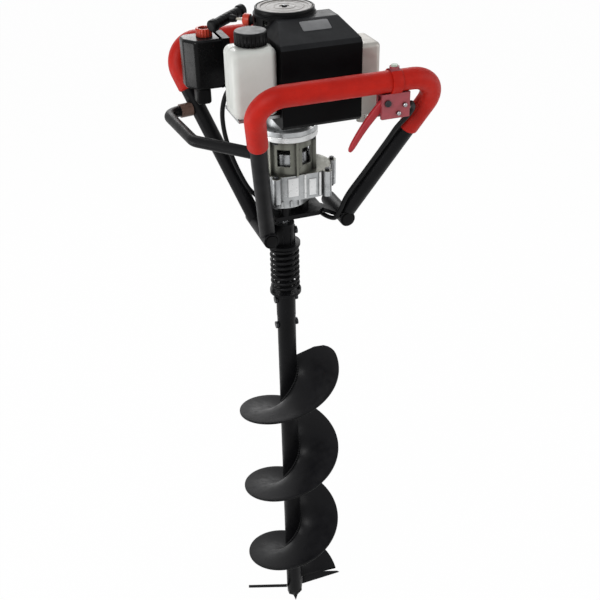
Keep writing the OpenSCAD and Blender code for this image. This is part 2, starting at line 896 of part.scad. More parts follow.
// Two half shafts, each with its round web.
module crankshaft() {
    color("#9a9da0")
        at_engine() {
            disc(web_r, crank_z - web_gap / 2 - web_t, crank_z - web_gap / 2);
            disc(journal_r, shoe_z + shoe_h, crank_z - web_gap / 2);
            disc(clutch_r, shoe_z - 1, shoe_z + shoe_h + 1);
            disc(web_r, crank_z + web_gap / 2, crank_z + web_gap / 2 + web_t);
            disc(journal_r, crank_z + web_gap / 2, wheel_z);
            disc(journal_r - 1.5, wheel_z - 1, wheel_z + wheel_h + 4);
        }
}

rod_t = 9;
rod_len = 58;
crank_pin_r = 6;
piston_pin_r = 4;
wrist_y = throw - rod_len;
module engine_pins() {
    color("#c8cacc") {
        translate([engine_x, throw, 0])
            disc(crank_pin_r, crank_z - web_gap / 2 + 0.2, crank_z + web_gap / 2 - 0.2);
        translate([engine_x, wrist_y, 0])
            disc(piston_pin_r, crank_z - bore_r + 3, crank_z + bore_r - 3);
    }
}

module connecting_rod() {
    color("#a6a9ab")
        difference() {
            union() {
                translate([engine_x, throw, 0])
                    disc(crank_pin_r + 4, crank_z - rod_t / 2, crank_z + rod_t / 2);
                translate([engine_x, wrist_y, 0])
                    disc(piston_pin_r + 3, crank_z - rod_t / 2, crank_z + rod_t / 2);
                block([engine_x - 4, wrist_y, crank_z - rod_t / 2 + 1.5],
                    [engine_x + 4, throw, crank_z + rod_t / 2 - 1.5]);
            }
            translate([engine_x, throw, 0])
                disc(crank_pin_r + run_fit, crank_z - rod_t, crank_z + rod_t);
            translate([engine_x, wrist_y, 0])
                disc(piston_pin_r + run_fit, crank_z - rod_t, crank_z + rod_t);
        }
}

module piston() {
    crown_y = wrist_y - 18;
    skirt_y = wrist_y + 14;
    color("#bfc2c4")
        difference() {
            bar([engine_x, crown_y, crank_z], [engine_x, skirt_y, crank_z], bore_r - run_fit);
            bar([engine_x, crown_y + 5, crank_z], [engine_x, skirt_y + over, crank_z], bore_r - 4);
            translate([engine_x, wrist_y, 0])
                disc(piston_pin_r + run_fit, crank_z - bore_r, crank_z + bore_r);
        }
}

// Barrel with its skirt, cooling fins and a closed head.
module cylinder_plan(y_front, y_back, r) {
    bar([engine_x, y_back, crank_z], [engine_x, y_front, crank_z], r);
}

module engine_cylinder() {
    fin_pitch = (seat_front_y - 8 - head_y) / fin_count;
    bore_end_y = wrist_y - 18 - 17;
    color("#a9acae")
        difference() {
            union() {
                cylinder_plan(head_y, seat_front_y, barrel_r);
                cylinder_plan(seat_front_y - 6, seat_front_y, barrel_r + 5);
                cylinder_plan(seat_front_y - 1, seat_front_y + 16, bore_r + 1);
                for (i = [0 : fin_count - 1])
                    cylinder_plan(head_y + i * fin_pitch, head_y + i * fin_pitch + 2, fin_r);
                bar([engine_x, exhaust_y, crank_z], [port_end_x, exhaust_y, crank_z], port_r + port_wall);
            }
            cylinder_plan(max(bore_end_y, head_y + 8), seat_front_y + 20, bore_r);
            bar([engine_x, exhaust_y, crank_z], [port_end_x + over, exhaust_y, crank_z], port_r);
            plug_form(plug_thread_r + seat_gap, -plug_reach - 10, plug_seat_h);
            plug_form(plug_hex_r + 3, plug_seat_h, plug_cap_top);
        }
}

// The spark plug leans forward out of the head's upper side.
plug_tilt = 30;
plug_thread_r = 6;
plug_hex_r = 9;
plug_body_r = 5;
plug_cap_r = 8;
plug_reach = 8;
plug_seat_h = 14;
plug_hex_top = 24;
plug_cap_low = 30;
plug_cap_top = 48;
plug_seat = [engine_x, head_y + 16, crank_z + 8];
module plug_form(r, low, high) {
    translate(plug_seat)
        rotate([plug_tilt, 0, 0])
            disc(r, low, high);
}

module spark_plug() {
    color("#e3e3de") {
        plug_form(plug_thread_r, -plug_reach, plug_seat_h + over);
        plug_form(plug_hex_r, plug_seat_h + seat_gap, plug_hex_top);
        plug_form(plug_body_r, plug_hex_top - over, plug_cap_low + over);
        plug_form(plug_cap_r, plug_cap_low, plug_cap_top);
    }
}

// Cooling fan flywheel, with the starter's cup on top.
wheel_z = case_top_z + 6;
wheel_h = 22;
cup_r = 20;
module flywheel() {
    color("#b9bcbe")
        at_engine()
            difference() {
                union() {
                    disc(flywheel_r, wheel_z, wheel_z + 8);
                    for (a = [0 : 24 : 336])
                        rotate([0, 0, a])
                            block([cup_r + 3, -1.25, wheel_z + 7], [flywheel_r - 2, 1.25, wheel_z + wheel_h]);
                    disc(cup_r, wheel_z + 7, wheel_z + wheel_h);
                }
                disc(journal_r - 1.5 + seat_gap, wheel_z - over, wheel_z + wheel_h + over);
                disc(cup_r - 5, wheel_z + 12, wheel_z + wheel_h + over);
            }
}

module ignition_coil() {
    color("#3c3c40")
        at_engine()
            rotate([0, 0, 60]) {
                block([flywheel_r + 0.6, -11, case_top_z + cover_wall + seat_gap],
                    [fan_r - cover_wall - 1.5, 11, wheel_z + 8]);
                block([flywheel_r + 0.6, -7, wheel_z + 7.5], [fan_r - cover_wall - 2.5, 7, wheel_z + 17]);
            }
}

module fan_housing() {
    color("#1f2022")
        at_engine()
            difference() {
                disc(fan_r, case_top_z, fan_top_z);
                disc(fan_r - cover_wall, case_top_z + cover_wall, fan_top_z + over);
                disc(journal_r + 6, case_top_z - over, fan_top_z);
                for (a = [0 : 20 : 340])
                    rotate([0, 0, a])
                        translate([fan_r - 20, 0, 0])
                            disc(2.5, case_top_z - over, case_top_z + cover_wall + over);
            }
}

// Recoil starter: housing with a post for the pulley and a nozzle for the rope.
pull_angle = 139;
pull_z = fan_top_z + 16;
pulley_r = 36;
pulley_h = 13;
post_r = 6;
nozzle_r = 7;
nozzle_end = starter_r + 20;
rope_r = 2;
module at_pull() {
    translate([engine_x, 0, pull_z])
        rotate([0, 0, pull_angle])
            children();
}

module starter_housing() {
    color("#1b1c1e")
        difference() {
            union() {
                at_engine()
                    difference() {
                        union() {
                            disc(starter_r, fan_top_z, starter_top_z - 4);
                            disc(starter_r - 2.5, starter_top_z - 5, starter_top_z);
                            disc(fan_r, fan_top_z, fan_top_z + 4);
                        }
                        disc(starter_r - cover_wall, fan_top_z - over, starter_top_z - cover_wall - 2);
                        for (a = [0 : 30 : 330])
                            rotate([0, 0, a + 4])
                                block([starter_r - cover_wall - 2, -4, fan_top_z + 22],
                                    [starter_r + over, 4, starter_top_z - 8]);
                    }
                at_engine()
                    disc(post_r, pull_z - pulley_h / 2 - 2, starter_top_z - cover_wall);
                at_pull()
                    bar([starter_r - 4, 0, 0], [nozzle_end, 0, 0], nozzle_r);
            }
            at_pull()
                bar([starter_r - 8, 0, 0], [nozzle_end + over, 0, 0], rope_r + 1.5);
        }
}

module starter_disc() {
    color("#b9b7b2")
        at_engine()
            difference() {
                disc(starter_r - 6, starter_top_z, starter_top_z + 5);
                disc(8, starter_top_z + 3, starter_top_z + 5 + over);
            }
}

module starter_pulley() {
    color("#d8d5cb")
        at_engine()
            translate([0, 0, pull_z])
                difference() {
                    union() {
                        disc(pulley_r, -pulley_h / 2, -pulley_h / 2 + 3);
                        disc(pulley_r - 6, -pulley_h / 2, pulley_h / 2);
                        disc(pulley_r, pulley_h / 2 - 3, pulley_h / 2);
                    }
                    disc(post_r + run_fit, -pulley_h, pulley_h);
                }
}

// The grip lies across the rope, turned from square and a little higher at its rear end.
grip_place = starter_r + 50;
grip_tilt = 8;
grip_turn = 17;
grip_end = 6;
grip_stem = pull_r + 8;
module starter_handle() {
    color("#18181a")
        at_pull()
            translate([grip_place, 0, 0])
                difference() {
                    union() {
                        rotate([0, 0, -grip_turn])
                            rotate([-grip_tilt, 0, 0]) {
                                bar([0, -pull_len / 2, 0], [0, pull_len / 2, 0], pull_r);
                                for (side = [-1, 1])
                                    bar([0, side * pull_len / 2 - grip_end, 0],
                                        [0, side * pull_len / 2 + grip_end, 0], pull_r + 1.5);
                            }
                        bar([-grip_stem, 0, 0], [0, 0, 0], pull_r - 2);
                    }
                    bar([-grip_stem - over, 0, 0], [-2, 0, 0], rope_r + run_fit);
                }
}

module starter_rope() {
    color("#c9c4b4")
        at_pull()
            bar([pulley_r + 2, 0, 0], [grip_place - 2 - seat_gap, 0, 0], rope_r);
}

// Cylinder cover: a shell with a hipped roof, open at the back, over the cylinder and the plug.
cover_left_x = engine_x + cover_shift - cover_w / 2;
cover_right_x = cover_left_x + cover_w;
cover_low_z = crank_z - cover_below;
cover_top_z = crank_z + cover_above;
cover_back_y = -10;
cover_eave_z = cover_top_z - 22;
cover_hip = 16;
cover_bevel = 6;
module cover_side(inset) {
    front = -cover_reach + inset;
    low = cover_low_z + inset;
    top = cover_top_z - inset;
    eave = cover_eave_z - inset;
    polygon([[cover_back_y, low], [front + cover_bevel, low], [front, low + cover_bevel],
        [front, eave - cover_bevel], [front + cover_bevel, eave], [-starter_r - 2, top], [cover_back_y, top]]);
}

module cover_front(inset) {
    left = cover_left_x + inset;
    right = cover_right_x - inset;
    low = cover_low_z + inset;
    top = cover_top_z - inset;
    eave = cover_eave_z - inset;
    polygon([[left, low], [right, low], [right, eave],
        [right - cover_hip, top], [left + cover_hip, top], [left, eave]]);
}

module cover_form(inset) {
    intersection() {
        translate([cover_left_x, 0, 0])
            rotate([90, 0, 90])
                linear_extrude(cover_w)
                    cover_side(inset);
        rotate([90, 0, 0])
            linear_extrude(cover_reach + over)
                cover_front(inset);
    }
}

module cylinder_cover() {
    color("#1d1e20")
        difference() {
            cover_form(0);
            cover_form(cover_wall);
            block([cover_left_x - over, cover_back_y - cover_wall - 1, cover_low_z - over],
                [cover_right_x + over, cover_back_y + over, cover_top_z + over]);
            at_engine() {
                disc(fan_r + gap, case_top_z - gap, fan_top_z + 4 + gap);
                disc(starter_r + gap, fan_top_z, cover_top_z + over);
            }
            block([cover_left_x + cover_wall, seat_front_y - 8, cover_low_z - over],
                [engine_x + case_r + 2, cover_back_y + over, crank_z + 34]);
            bar([engine_x, exhaust_y, crank_z], [cover_right_x + over, exhaust_y, crank_z], exhaust_r + 3);
            block([cover_left_x - over, tank_front_y + shelf_inset - gap, shelf_low_z - gap],
                [cover_left_x + cover_wall + over, cover_back_y, shelf_low_z + shelf_t + gap]);
        }
}

// Exhaust: a pipe from the port to a box muffler with an outlet below.
exhaust_wall = 2;
exhaust_r = port_r + exhaust_wall;
muffler_left_x = cover_right_x + 3;
muffler_back_y = -8;
muffler_low_z = crank_z - 52;
outlet_len = 14;
outlet_x = muffler_left_x + muffler_w / 2;
outlet_y = muffler_back_y - muffler_d * 0.7;
module muffler() {
    wall = exhaust_wall;
    low = [muffler_left_x, muffler_back_y - muffler_d, muffler_low_z];
    high = [muffler_left_x + muffler_w, muffler_back_y, muffler_low_z + muffler_h];
    inset = wall * [1, 1, 1];
    color("#c2c1bb")
        difference() {
            union() {
                block(low, high);
                block(low + [-1, -2, muffler_h / 2 - 2], [high.x + 2, high.y + 2, low.z + muffler_h / 2 + 2]);
                bar([port_end_x + seat_gap, exhaust_y, crank_z],
                    [muffler_left_x + over, exhaust_y, crank_z], exhaust_r);
                bar([outlet_x, outlet_y, muffler_low_z - outlet_len],
                    [outlet_x, outlet_y, muffler_low_z + wall], outlet_r + wall);
            }
            block(low + inset, high - inset);
            bar([engine_x, exhaust_y, crank_z], [muffler_left_x + 10, exhaust_y, crank_z], port_r);
            bar([outlet_x, outlet_y, muffler_low_z - outlet_len - over],
                [outlet_x, outlet_y, muffler_low_z + 10], outlet_r);
        }
}

// Fuel tank to the left of the cover, on a shelf of the crankcase.
tank_right_x = cover_left_x - 2;
tank_front_y = -104;
tank_low_z = shelf_low_z + shelf_t;
tank_top_z = tank_low_z + tank_h;
tank_round = 12;
tank_wall = 2.5;
neck_x = tank_right_x - tank_w * 0.465;
neck_y = tank_front_y + tank_d / 2;
module fuel_tank() {
    low = [tank_right_x - tank_w, tank_front_y, tank_low_z];
    high = [tank_right_x, tank_front_y + tank_d, tank_top_z];
    wall = tank_wall * [1, 1, 1];
    color("#e9eae6")
        difference() {
            union() {
                soft_block(low, high, tank_round);
                translate([neck_x, neck_y, 0])
                    disc(neck_r, tank_top_z - 6, tank_top_z + neck_h);
            }
            soft_block(low + wall, high - wall, tank_round - tank_wall);
            translate([neck_x, neck_y, 0])
                disc(neck_r - tank_wall, tank_top_z - 8, tank_top_z + neck_h + over);
        }
}

module fuel_cap() {
    cap_top_z = tank_top_z + 2 + cap_h;
    color("#19191b")
        translate([neck_x, neck_y, 0])
            difference() {
                union() {
                    disc(cap_r - 1.2, tank_top_z + 2, cap_top_z);
                    for (a = [0 : 15 : 345])
                        rotate([0, 0, a])
                            block([cap_r - 3, -1.4, tank_top_z + 3], [cap_r, 1.4, cap_top_z - 2]);
                }
                disc(neck_r + gap, tank_top_z, tank_top_z + neck_h + gap);
            }
}

// Air intake on the left rear: manifold, carburettor and air filter.
carb_y = 88;
carb_right_x = -28;
carb_w = 34;
carb_left_x = carb_right_x - carb_w;
carb_d = 36;
carb_h = 36;
duct_r = 13;
module intake_manifold() {
    color("#3a3a3d")
        difference() {
            union() {
                block([pad_x - pad_w / 2, pad_y, crank_z - pad_h / 2],
                    [pad_x + pad_w / 2, pad_y + 5, crank_z + pad_h / 2]);
                bar([pad_x, pad_y, crank_z], [pad_x, carb_y, crank_z], duct_r);
                translate([pad_x, carb_y, crank_z])
                    sphere(duct_r);
                bar([pad_x, carb_y, crank_z], [carb_right_x, carb_y, crank_z], duct_r);
            }
            bar([pad_x, pad_y - over, crank_z], [pad_x, carb_y, crank_z], intake_r);
            translate([pad_x, carb_y, crank_z])
                sphere(intake_r);
            bar([pad_x, carb_y, crank_z], [carb_right_x - over, carb_y, crank_z], intake_r);
        }
}

spindle_r = 2.5;
throttle_x = carb_left_x + carb_w * 0.3;
choke_x = carb_left_x + carb_w * 0.72;
module carburettor() {
    color("#aeb1b3")
        difference() {
            union() {
                block([carb_left_x, carb_y - carb_d / 2, crank_z - carb_h / 2],
                    [carb_right_x, carb_y + carb_d / 2, crank_z + carb_h / 2]);
                translate([(carb_left_x + carb_right_x) / 2, carb_y, 0])
                    disc(carb_w * 0.42, crank_z - carb_h / 2 - 8, crank_z - carb_h / 2 + 1);
            }
            bar([carb_left_x - over, carb_y, crank_z], [carb_right_x + over, carb_y, crank_z], intake_r);
            for (x = [throttle_x, choke_x])
                translate([x, carb_y, 0])
                    disc(spindle_r + run_fit, crank_z, crank_z + carb_h / 2 + over);
        }
}

module spindle_arm(x, reach, turn) {
    top_z = crank_z + carb_h / 2;
    translate([x, carb_y, 0]) {
        disc(spindle_r, crank_z + intake_r + 1, top_z + gap + 3);
        disc(spindle_r + 2.5, top_z + gap, top_z + gap + 3);
        rotate([0, 0, turn])
            block([0, -3, top_z + gap], [reach, 3, top_z + gap + 3]);
    }
}

module throttle_arm() {
    color("#9a9da0")
        spindle_arm(throttle_x, 22, -103);
}

module choke_lever() {
    color("#b33a2a")
        spindle_arm(choke_x, 26, 70);
}

filter_right_x = carb_left_x - 4;
filter_left_x = filter_right_x - 8 - filter_w;
filter_y = carb_y;
filter_low_z = crank_z - 21;
filter_corner = 16;
knob_x = filter_right_x - 32;
module filter_base() {
    color("#242427")
        difference() {
            block([filter_right_x - 8, filter_y - filter_d / 2, filter_low_z],
                [filter_right_x + 4, filter_y + filter_d / 2, filter_low_z + filter_h]);
            bar([filter_right_x - 9, carb_y, crank_z], [filter_right_x + 5, carb_y, crank_z], intake_r);
        }
}

module filter_element() {
    color("#5a5c58")
        block([filter_left_x + filter_corner + 4, filter_y - filter_d / 2 + 6, filter_low_z + 6],
            [filter_right_x - 8, filter_y + filter_d / 2 - 6, filter_low_z + filter_h - 6]);
}

// A box with its two left upright edges cut off, the front one deeper.
module filter_box(low, high, corner) {
    translate([0, 0, low.z])
        linear_extrude(high.z - low.z)
            polygon([[low.x + corner, low.y], [high.x, low.y], [high.x, high.y], [low.x + corner / 2, high.y],
                [low.x, high.y - corner / 2], [low.x, low.y + 1.4 * corner]]);
}

module filter_cover() {
    low = [filter_left_x, filter_y - filter_d / 2, filter_low_z];
    high = [filter_right_x - 8, filter_y + filter_d / 2, filter_low_z + filter_h];
    wall = cover_wall * [1, 1, 1];
    color("#232426")
        difference() {
            filter_box(low, high, filter_corner);
            filter_box(low + wall, [high.x + over, high.y - cover_wall, high.z - cover_wall],
                filter_corner - cover_wall / 2);
            translate([knob_x, filter_y, 0])
                disc(stem_r + run_fit, high.z - cover_wall - over, high.z + over);
        }
}

knob_r = 14;
knob_h = 14;
knob_rim = 5;
stem_r = 3;
stem_reach = 2;
module filter_knob() {
    color("#d0452c")
        translate([knob_x, filter_y, filter_low_z + filter_h])
            difference() {
                union() {
                    disc(knob_r, gap, knob_h);
                    disc(stem_r, -cover_wall - stem_reach, gap + over);
                }
                disc(knob_r - knob_rim, knob_h - knob_rim, knob_h + over);
            }
}

hose_r = 3;
hose_x = -74;
hose_start_y = tank_front_y + tank_d + seat_gap;
hose_end_y = carb_y - carb_d / 2 - seat_gap;
hose_points = [[hose_x, hose_start_y, 1], [hose_x, hose_start_y + 4, 1], [hose_x, hose_start_y + 8, 0],
    [-70, -25, -4], [-62, 0, -8], [-53, 35, -7], [-48, hose_end_y - 12, -6], [-48, hose_end_y - 6, -6],
    [-48, hose_end_y, -6]];
module fuel_hose() {
    color("#46433a")
        translate([0, 0, crank_z])
            cord(smooth_path(hose_points, 3), hose_r, 8);
}

// Frame: two bent handle tubes on a base plate under the gearbox.
base_top_z = housing_low_z;
base_low_z = base_top_z - base_t;
bar_z = base_top_z + bar_rise;
left_foot_x = -38;
right_foot_x = 101;
left_foot_z = base_low_z - 33;
right_foot_z = base_low_z - tube_r + 1;
left_foot = [[left_foot_x, -46, left_foot_z], [left_foot_x, 64, left_foot_z]];
right_foot = [[right_foot_x, -52, right_foot_z], [right_foot_x, 40, right_foot_z]];
front_points = [[left_foot_x, -24, left_foot_z], [-96, -front_reach, bar_z], [212, -front_reach, bar_z],
    [right_foot_x, -34, right_foot_z]];
rear_points = [[left_foot_x, 40, left_foot_z], [-148, rear_reach, bar_z], [226, rear_reach, bar_z],
    [92, 100, base_top_z + 114], [45, 64, base_low_z]];
grip_in_r = tube_r + 2 * bend_lip + seat_gap;
grip_r = grip_in_r + foam_t;
front_grip_left = 101;
front_grip_right = 113;
rear_grip_left = 84;
rear_grip_right = 98;
tube_in_r = tube_r - tube_wall;
rail_z = base_top_z + rail_rise;
rail_bend_r = 25;
function leg_at(a, b, z) = a + (b - a) * (z - a.z) / (b.z - a.z);
rail_points = [leg_at(front_points[0], front_points[1], rail_z), [-155, -25, rail_z], [-168, 112, rail_z],
    leg_at(rear_points[0], rear_points[1], rail_z)];

module foot_cut(foot) {
    bar(foot[0], foot[1], tube_r + seat_gap);
}

module front_handle_tube() {
    color("#222224")
        difference() {
            bent_tube(front_points, bend_r, tube_r, tube_in_r);
            foot_cut(left_foot);
            foot_cut(right_foot);
        }
}

module rear_handle_tube() {
    color("#222224")
        difference() {
            bent_tube(rear_points, bend_r, tube_r, tube_in_r);
            foot_cut(left_foot);
            block([0, 0, base_low_z - bend_r], [right_foot_x, 2 * base_back_y, base_top_z + seat_gap]);
        }
}

module front_grip() {
    color("#b3201b")
        bent_tube([along(front_points[1], front_points[0], front_grip_left), front_points[1], front_points[2],
            along(front_points[2], front_points[3], front_grip_right)], bend_r, grip_r, grip_in_r);
}

module rear_grip() {
    color("#b3201b")
        bent_tube([along(rear_points[1], rear_points[0], rear_grip_left), rear_points[1], rear_points[2],
            along(rear_points[2], rear_points[3], rear_grip_right)], bend_r, grip_r, grip_in_r);
}

module side_rail() {
    color("#27272a")
        difference() {
            bent_tube(rail_points, rail_bend_r, rail_r, rail_r - 1.5);
            bar(front_points[0], front_points[1], tube_r + seat_gap);
            bar(rear_points[0], rear_points[1], tube_r + seat_gap);
        }
}

base_left_x = -28;
base_front_y = -42;
base_back_y = 82;
base_left_cut = 46;
plate_right_x = 64;
plate_right_cut = 12;
strut_y = [-34, -10];
strut_drop = 20;
post_base_r = 8;
gusset_places = [-8, 18];
gusset_t = 6;
gusset_lap = 8;
module base_frame() {
    color("#202022")
        difference() {
            union() {
                translate([0, 0, base_low_z])
                    linear_extrude(base_t)
                        polygon([[base_left_x, base_front_y], [plate_right_x - plate_right_cut, base_front_y],
                            [plate_right_x, base_front_y + plate_right_cut],
                            [plate_right_x, base_back_y - plate_right_cut],
                            [plate_right_x - plate_right_cut, base_back_y],
                            [base_left_x + base_left_cut, base_back_y],
                            [base_left_x, base_back_y - base_left_cut]]);
                translate([0, strut_y[1], 0])
                    rotate([90, 0, 0])
                        linear_extrude(strut_y[1] - strut_y[0])
                            polygon([[plate_right_x - 1, base_low_z], [right_foot_x, base_low_z - strut_drop],
                                [right_foot_x, base_top_z - strut_drop], [plate_right_x - 1, base_top_z]]);
                for (p = base_bolts)
                    translate(p)
                        disc(post_base_r, base_top_z - 1, bowl_low_z);
                bar(left_foot[0], left_foot[1], tube_r);
                bar(right_foot[0], right_foot[1], tube_r);
                for (y = gusset_places)
                    block([left_foot_x - gusset_lap / 2, y, left_foot_z],
                        [base_left_x + gusset_lap, y + gusset_t, base_low_z + 1]);
            }
            for (foot = [left_foot, right_foot])
                bar(foot[0] - [0, over, 0], foot[1] + [0, over, 0], tube_in_r);
            bar(front_points[2], front_points[3], tube_r + seat_gap);
            bar(front_points[1], front_points[0], tube_r + seat_gap);
            disc(boss_r + seat_gap, base_low_z - over, base_top_z + over);
            for (p = base_bolts)
                translate(p)
                    disc(screw_r + seat_gap, base_low_z - over, bowl_low_z + over);
        }
}

// Throttle control, clamped on the front grip.
grip_y = -front_reach;
bracket_x = 125;
bracket_d = 22;
bracket_top_z = bar_z - grip_r - seat_gap;
bracket_low_z = bracket_top_z - bracket_h;
bracket_left_x = bracket_x - bracket_w / 2;
band_w = 16;
band_t = 2.5;
pivot_x = bracket_left_x + 9;
pivot_z = bracket_top_z - 13;
pivot_r = 3;
eye_r = 7;
switch_z = bar_z + grip_r + seat_gap + band_t;
button_r = 5;
button_travel = 2.5;
boss_h = 3.5;
module throttle_bracket() {
    color("#a9545a")
        difference() {
            union() {
                block([bracket_left_x, grip_y - bracket_d / 2, bracket_low_z],
                    [bracket_left_x + bracket_w, grip_y + bracket_d / 2, bracket_top_z + 1]);
                bar([bracket_x - band_w / 2, grip_y, bar_z], [bracket_x + band_w / 2, grip_y, bar_z],
                    grip_r + seat_gap + band_t);
                translate([bracket_x, grip_y, 0])
                    disc(button_r + 2.5, switch_z - 2, switch_z + boss_h);
            }
            bar([bracket_left_x - over, grip_y, bar_z], [bracket_left_x + bracket_w + over, grip_y, bar_z],
                grip_r + seat_gap);
            block([bracket_left_x - over, grip_y - lever_t / 2 - gap, bracket_low_z - over],
                [bracket_left_x + 26, grip_y + lever_t / 2 + gap, bracket_top_z - 3]);
            bar([pivot_x, grip_y - bracket_d, pivot_z],
                [pivot_x, grip_y + bracket_d, pivot_z], pivot_r + seat_gap);
            translate([bracket_x, grip_y, 0])
                disc(button_r + gap, switch_z - 0.5, switch_z + boss_h + over);
        }
}

// A flat lever with a finger curve, hanging below the bar.
module throttle_lever() {
    tip_r = 6;
    color("#b4353a")
        translate([pivot_x, -front_reach + lever_t / 2, pivot_z])
            rotate([90, 0, 0])
                linear_extrude(lever_t)
                    rotate(180 + lever_drop)
                        difference() {
                            union() {
                                circle(eye_r);
                                translate([lever_len - tip_r, 0])
                                    circle(tip_r);
                                polygon([[0, -eye_r], [lever_len - tip_r, -tip_r], [lever_len - tip_r, tip_r],
                                    [0, eye_r]]);
                            }
                            circle(pivot_r + run_fit);
                        }
}

module stop_button() {
    color("#a9bfae")
        translate([bracket_x, -front_reach, 0])
            disc(button_r, switch_z - 0.5 + button_travel + gap, switch_z + boss_h + button_travel);
}

cable_r = 4;
cable_start_x = bracket_left_x + bracket_w + seat_gap;
cable_rise = bracket_low_z + 16 - base_top_z;
cable_points = [[cable_start_x, -front_reach, cable_rise], [cable_start_x + 4, -front_reach, cable_rise],
    [cable_start_x + 8, -front_reach, cable_rise], [163, -158, 210], [161, -146, 193], [151, -130, 170],
    [144, -112, 142], [119, -81, 79], [99, -57, 30], [88, -50, 0], [80, -44, -18], [68, -20, -20],
    [64, 20, -20], [44, 58, -19], [0, 62, -18], [-22, 60, -13], [-34, 49, 4], [-50, 47, 26], [-66, 53, 64],
    [-78, 55, 104], [-84, 55, 139], [-84, 54, 169], [-76, 54, 195], [-60, 57, 212], [-56, 61, 224],
    [-57, 65.6, 238]];
module throttle_cable() {
    color("#161617")
        translate([0, 0, base_top_z])
            cord(smooth_path(cable_points, 3), cable_r, 8);
}

module hex_bolt(z_low, z_high, head) {
    disc(screw_r, z_low, z_high);
    if (head > 0)
        translate([0, 0, z_high])
            cylinder(h = head, r = screw_head_r, $fn = 6);
    else
        translate([0, 0, z_low + head])
            cylinder(h = -head, r = screw_head_r, $fn = 6);
}

bracket_screws = [[4, 8], [14, 20]];
bracket_screw_r = 3;
module fasteners() {
    color("#55575a") {
        for (p = ear_places)
            translate(p) {
                hex_bolt(shoulder_z - 1, housing_top_z, 4);
                translate([0, 0, shoulder_z - 4])
                    cylinder(h = 4, r = screw_head_r, $fn = 6);
            }
        for (p = base_bolts)
            translate(p)
                hex_bolt(base_low_z, bowl_low_z + housing_wall - 1, -4);
        at_engine()
            for (a = flange_angles)
                rotate([0, 0, a])
                    translate([flange_bolt_r, 0, 0])
                        hex_bolt(flange_low_z, engine_low_z + 7, -4);
        bar([pivot_x, grip_y - bracket_d / 2 - seat_gap, pivot_z],
            [pivot_x, grip_y + bracket_d / 2 + seat_gap, pivot_z], pivot_r);
        for (side = [-1, 1])
            bar([pivot_x, grip_y + side * (bracket_d / 2 + seat_gap), pivot_z],
                [pivot_x, grip_y + side * (bracket_d / 2 + 3), pivot_z], pivot_r + 2);
        for (p = bracket_screws)
            translate([bracket_x + p.x, grip_y, bracket_low_z + p.y])
                bar([0, -bracket_d / 2 - 2, 0], [0, -bracket_d / 2 - seat_gap, 0], bracket_screw_r);
    }
}

front_handle_tube();
rear_handle_tube();
side_rail();
base_frame();
front_grip();
rear_grip();
throttle_bracket();
throttle_lever();
throttle_cable();
stop_button();
crankcase_lower();
crankcase_upper();
engine_cylinder();
cylinder_cover();
fan_housing();
starter_housing();
starter_disc();
starter_pulley();
starter_handle();
starter_rope();
flywheel();
crankshaft();
engine_pins();
connecting_rod();
piston();
engine_bearings();
spark_plug();
ignition_coil();
intake_manifold();
carburettor();
throttle_arm();
choke_lever();
filter_base();
filter_element();
filter_cover();
filter_knob();
fuel_tank();
fuel_cap();
fuel_hose();
muffler();
clutch_drum();
clutch_shoes();
gearbox_upper();
bearing_plate();
gearbox_lower();
gear_bearings();
input_pinion();
layshaft();
output_shaft();
output_gear();
fasteners();
drive_collar();
collar_bolt();
shock_spring();
lower_sleeve();
coupling_pins();
auger_pipe();
auger_flight();
cutter_blades();
pilot_point();
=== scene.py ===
"""Looks of a hand-held petrol earth auger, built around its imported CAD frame.

Metres in Blender, millimetres in the tables and shapes below. +Z is up, the bit's point is the origin,
and the bar with the throttle is on the -Y side.
"""
import math

import bpy
import numpy as np
from mathutils import Matrix, Vector


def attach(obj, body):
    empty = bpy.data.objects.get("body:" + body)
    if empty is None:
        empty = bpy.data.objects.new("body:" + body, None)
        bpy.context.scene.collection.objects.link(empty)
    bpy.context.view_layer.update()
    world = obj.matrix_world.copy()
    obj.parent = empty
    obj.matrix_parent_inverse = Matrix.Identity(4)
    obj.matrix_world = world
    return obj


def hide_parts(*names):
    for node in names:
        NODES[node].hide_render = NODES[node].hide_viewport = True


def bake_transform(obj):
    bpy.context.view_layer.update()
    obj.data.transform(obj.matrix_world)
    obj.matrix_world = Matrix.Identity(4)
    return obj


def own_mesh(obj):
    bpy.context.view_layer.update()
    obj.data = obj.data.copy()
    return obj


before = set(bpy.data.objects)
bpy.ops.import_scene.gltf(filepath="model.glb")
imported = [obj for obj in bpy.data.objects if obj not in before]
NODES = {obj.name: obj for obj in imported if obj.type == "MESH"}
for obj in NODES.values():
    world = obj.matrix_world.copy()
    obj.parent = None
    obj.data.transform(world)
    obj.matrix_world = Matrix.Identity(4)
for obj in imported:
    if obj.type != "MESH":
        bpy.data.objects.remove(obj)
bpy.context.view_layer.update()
MM = 0.001
TURN = 2 * np.pi


# Camera, light and floor

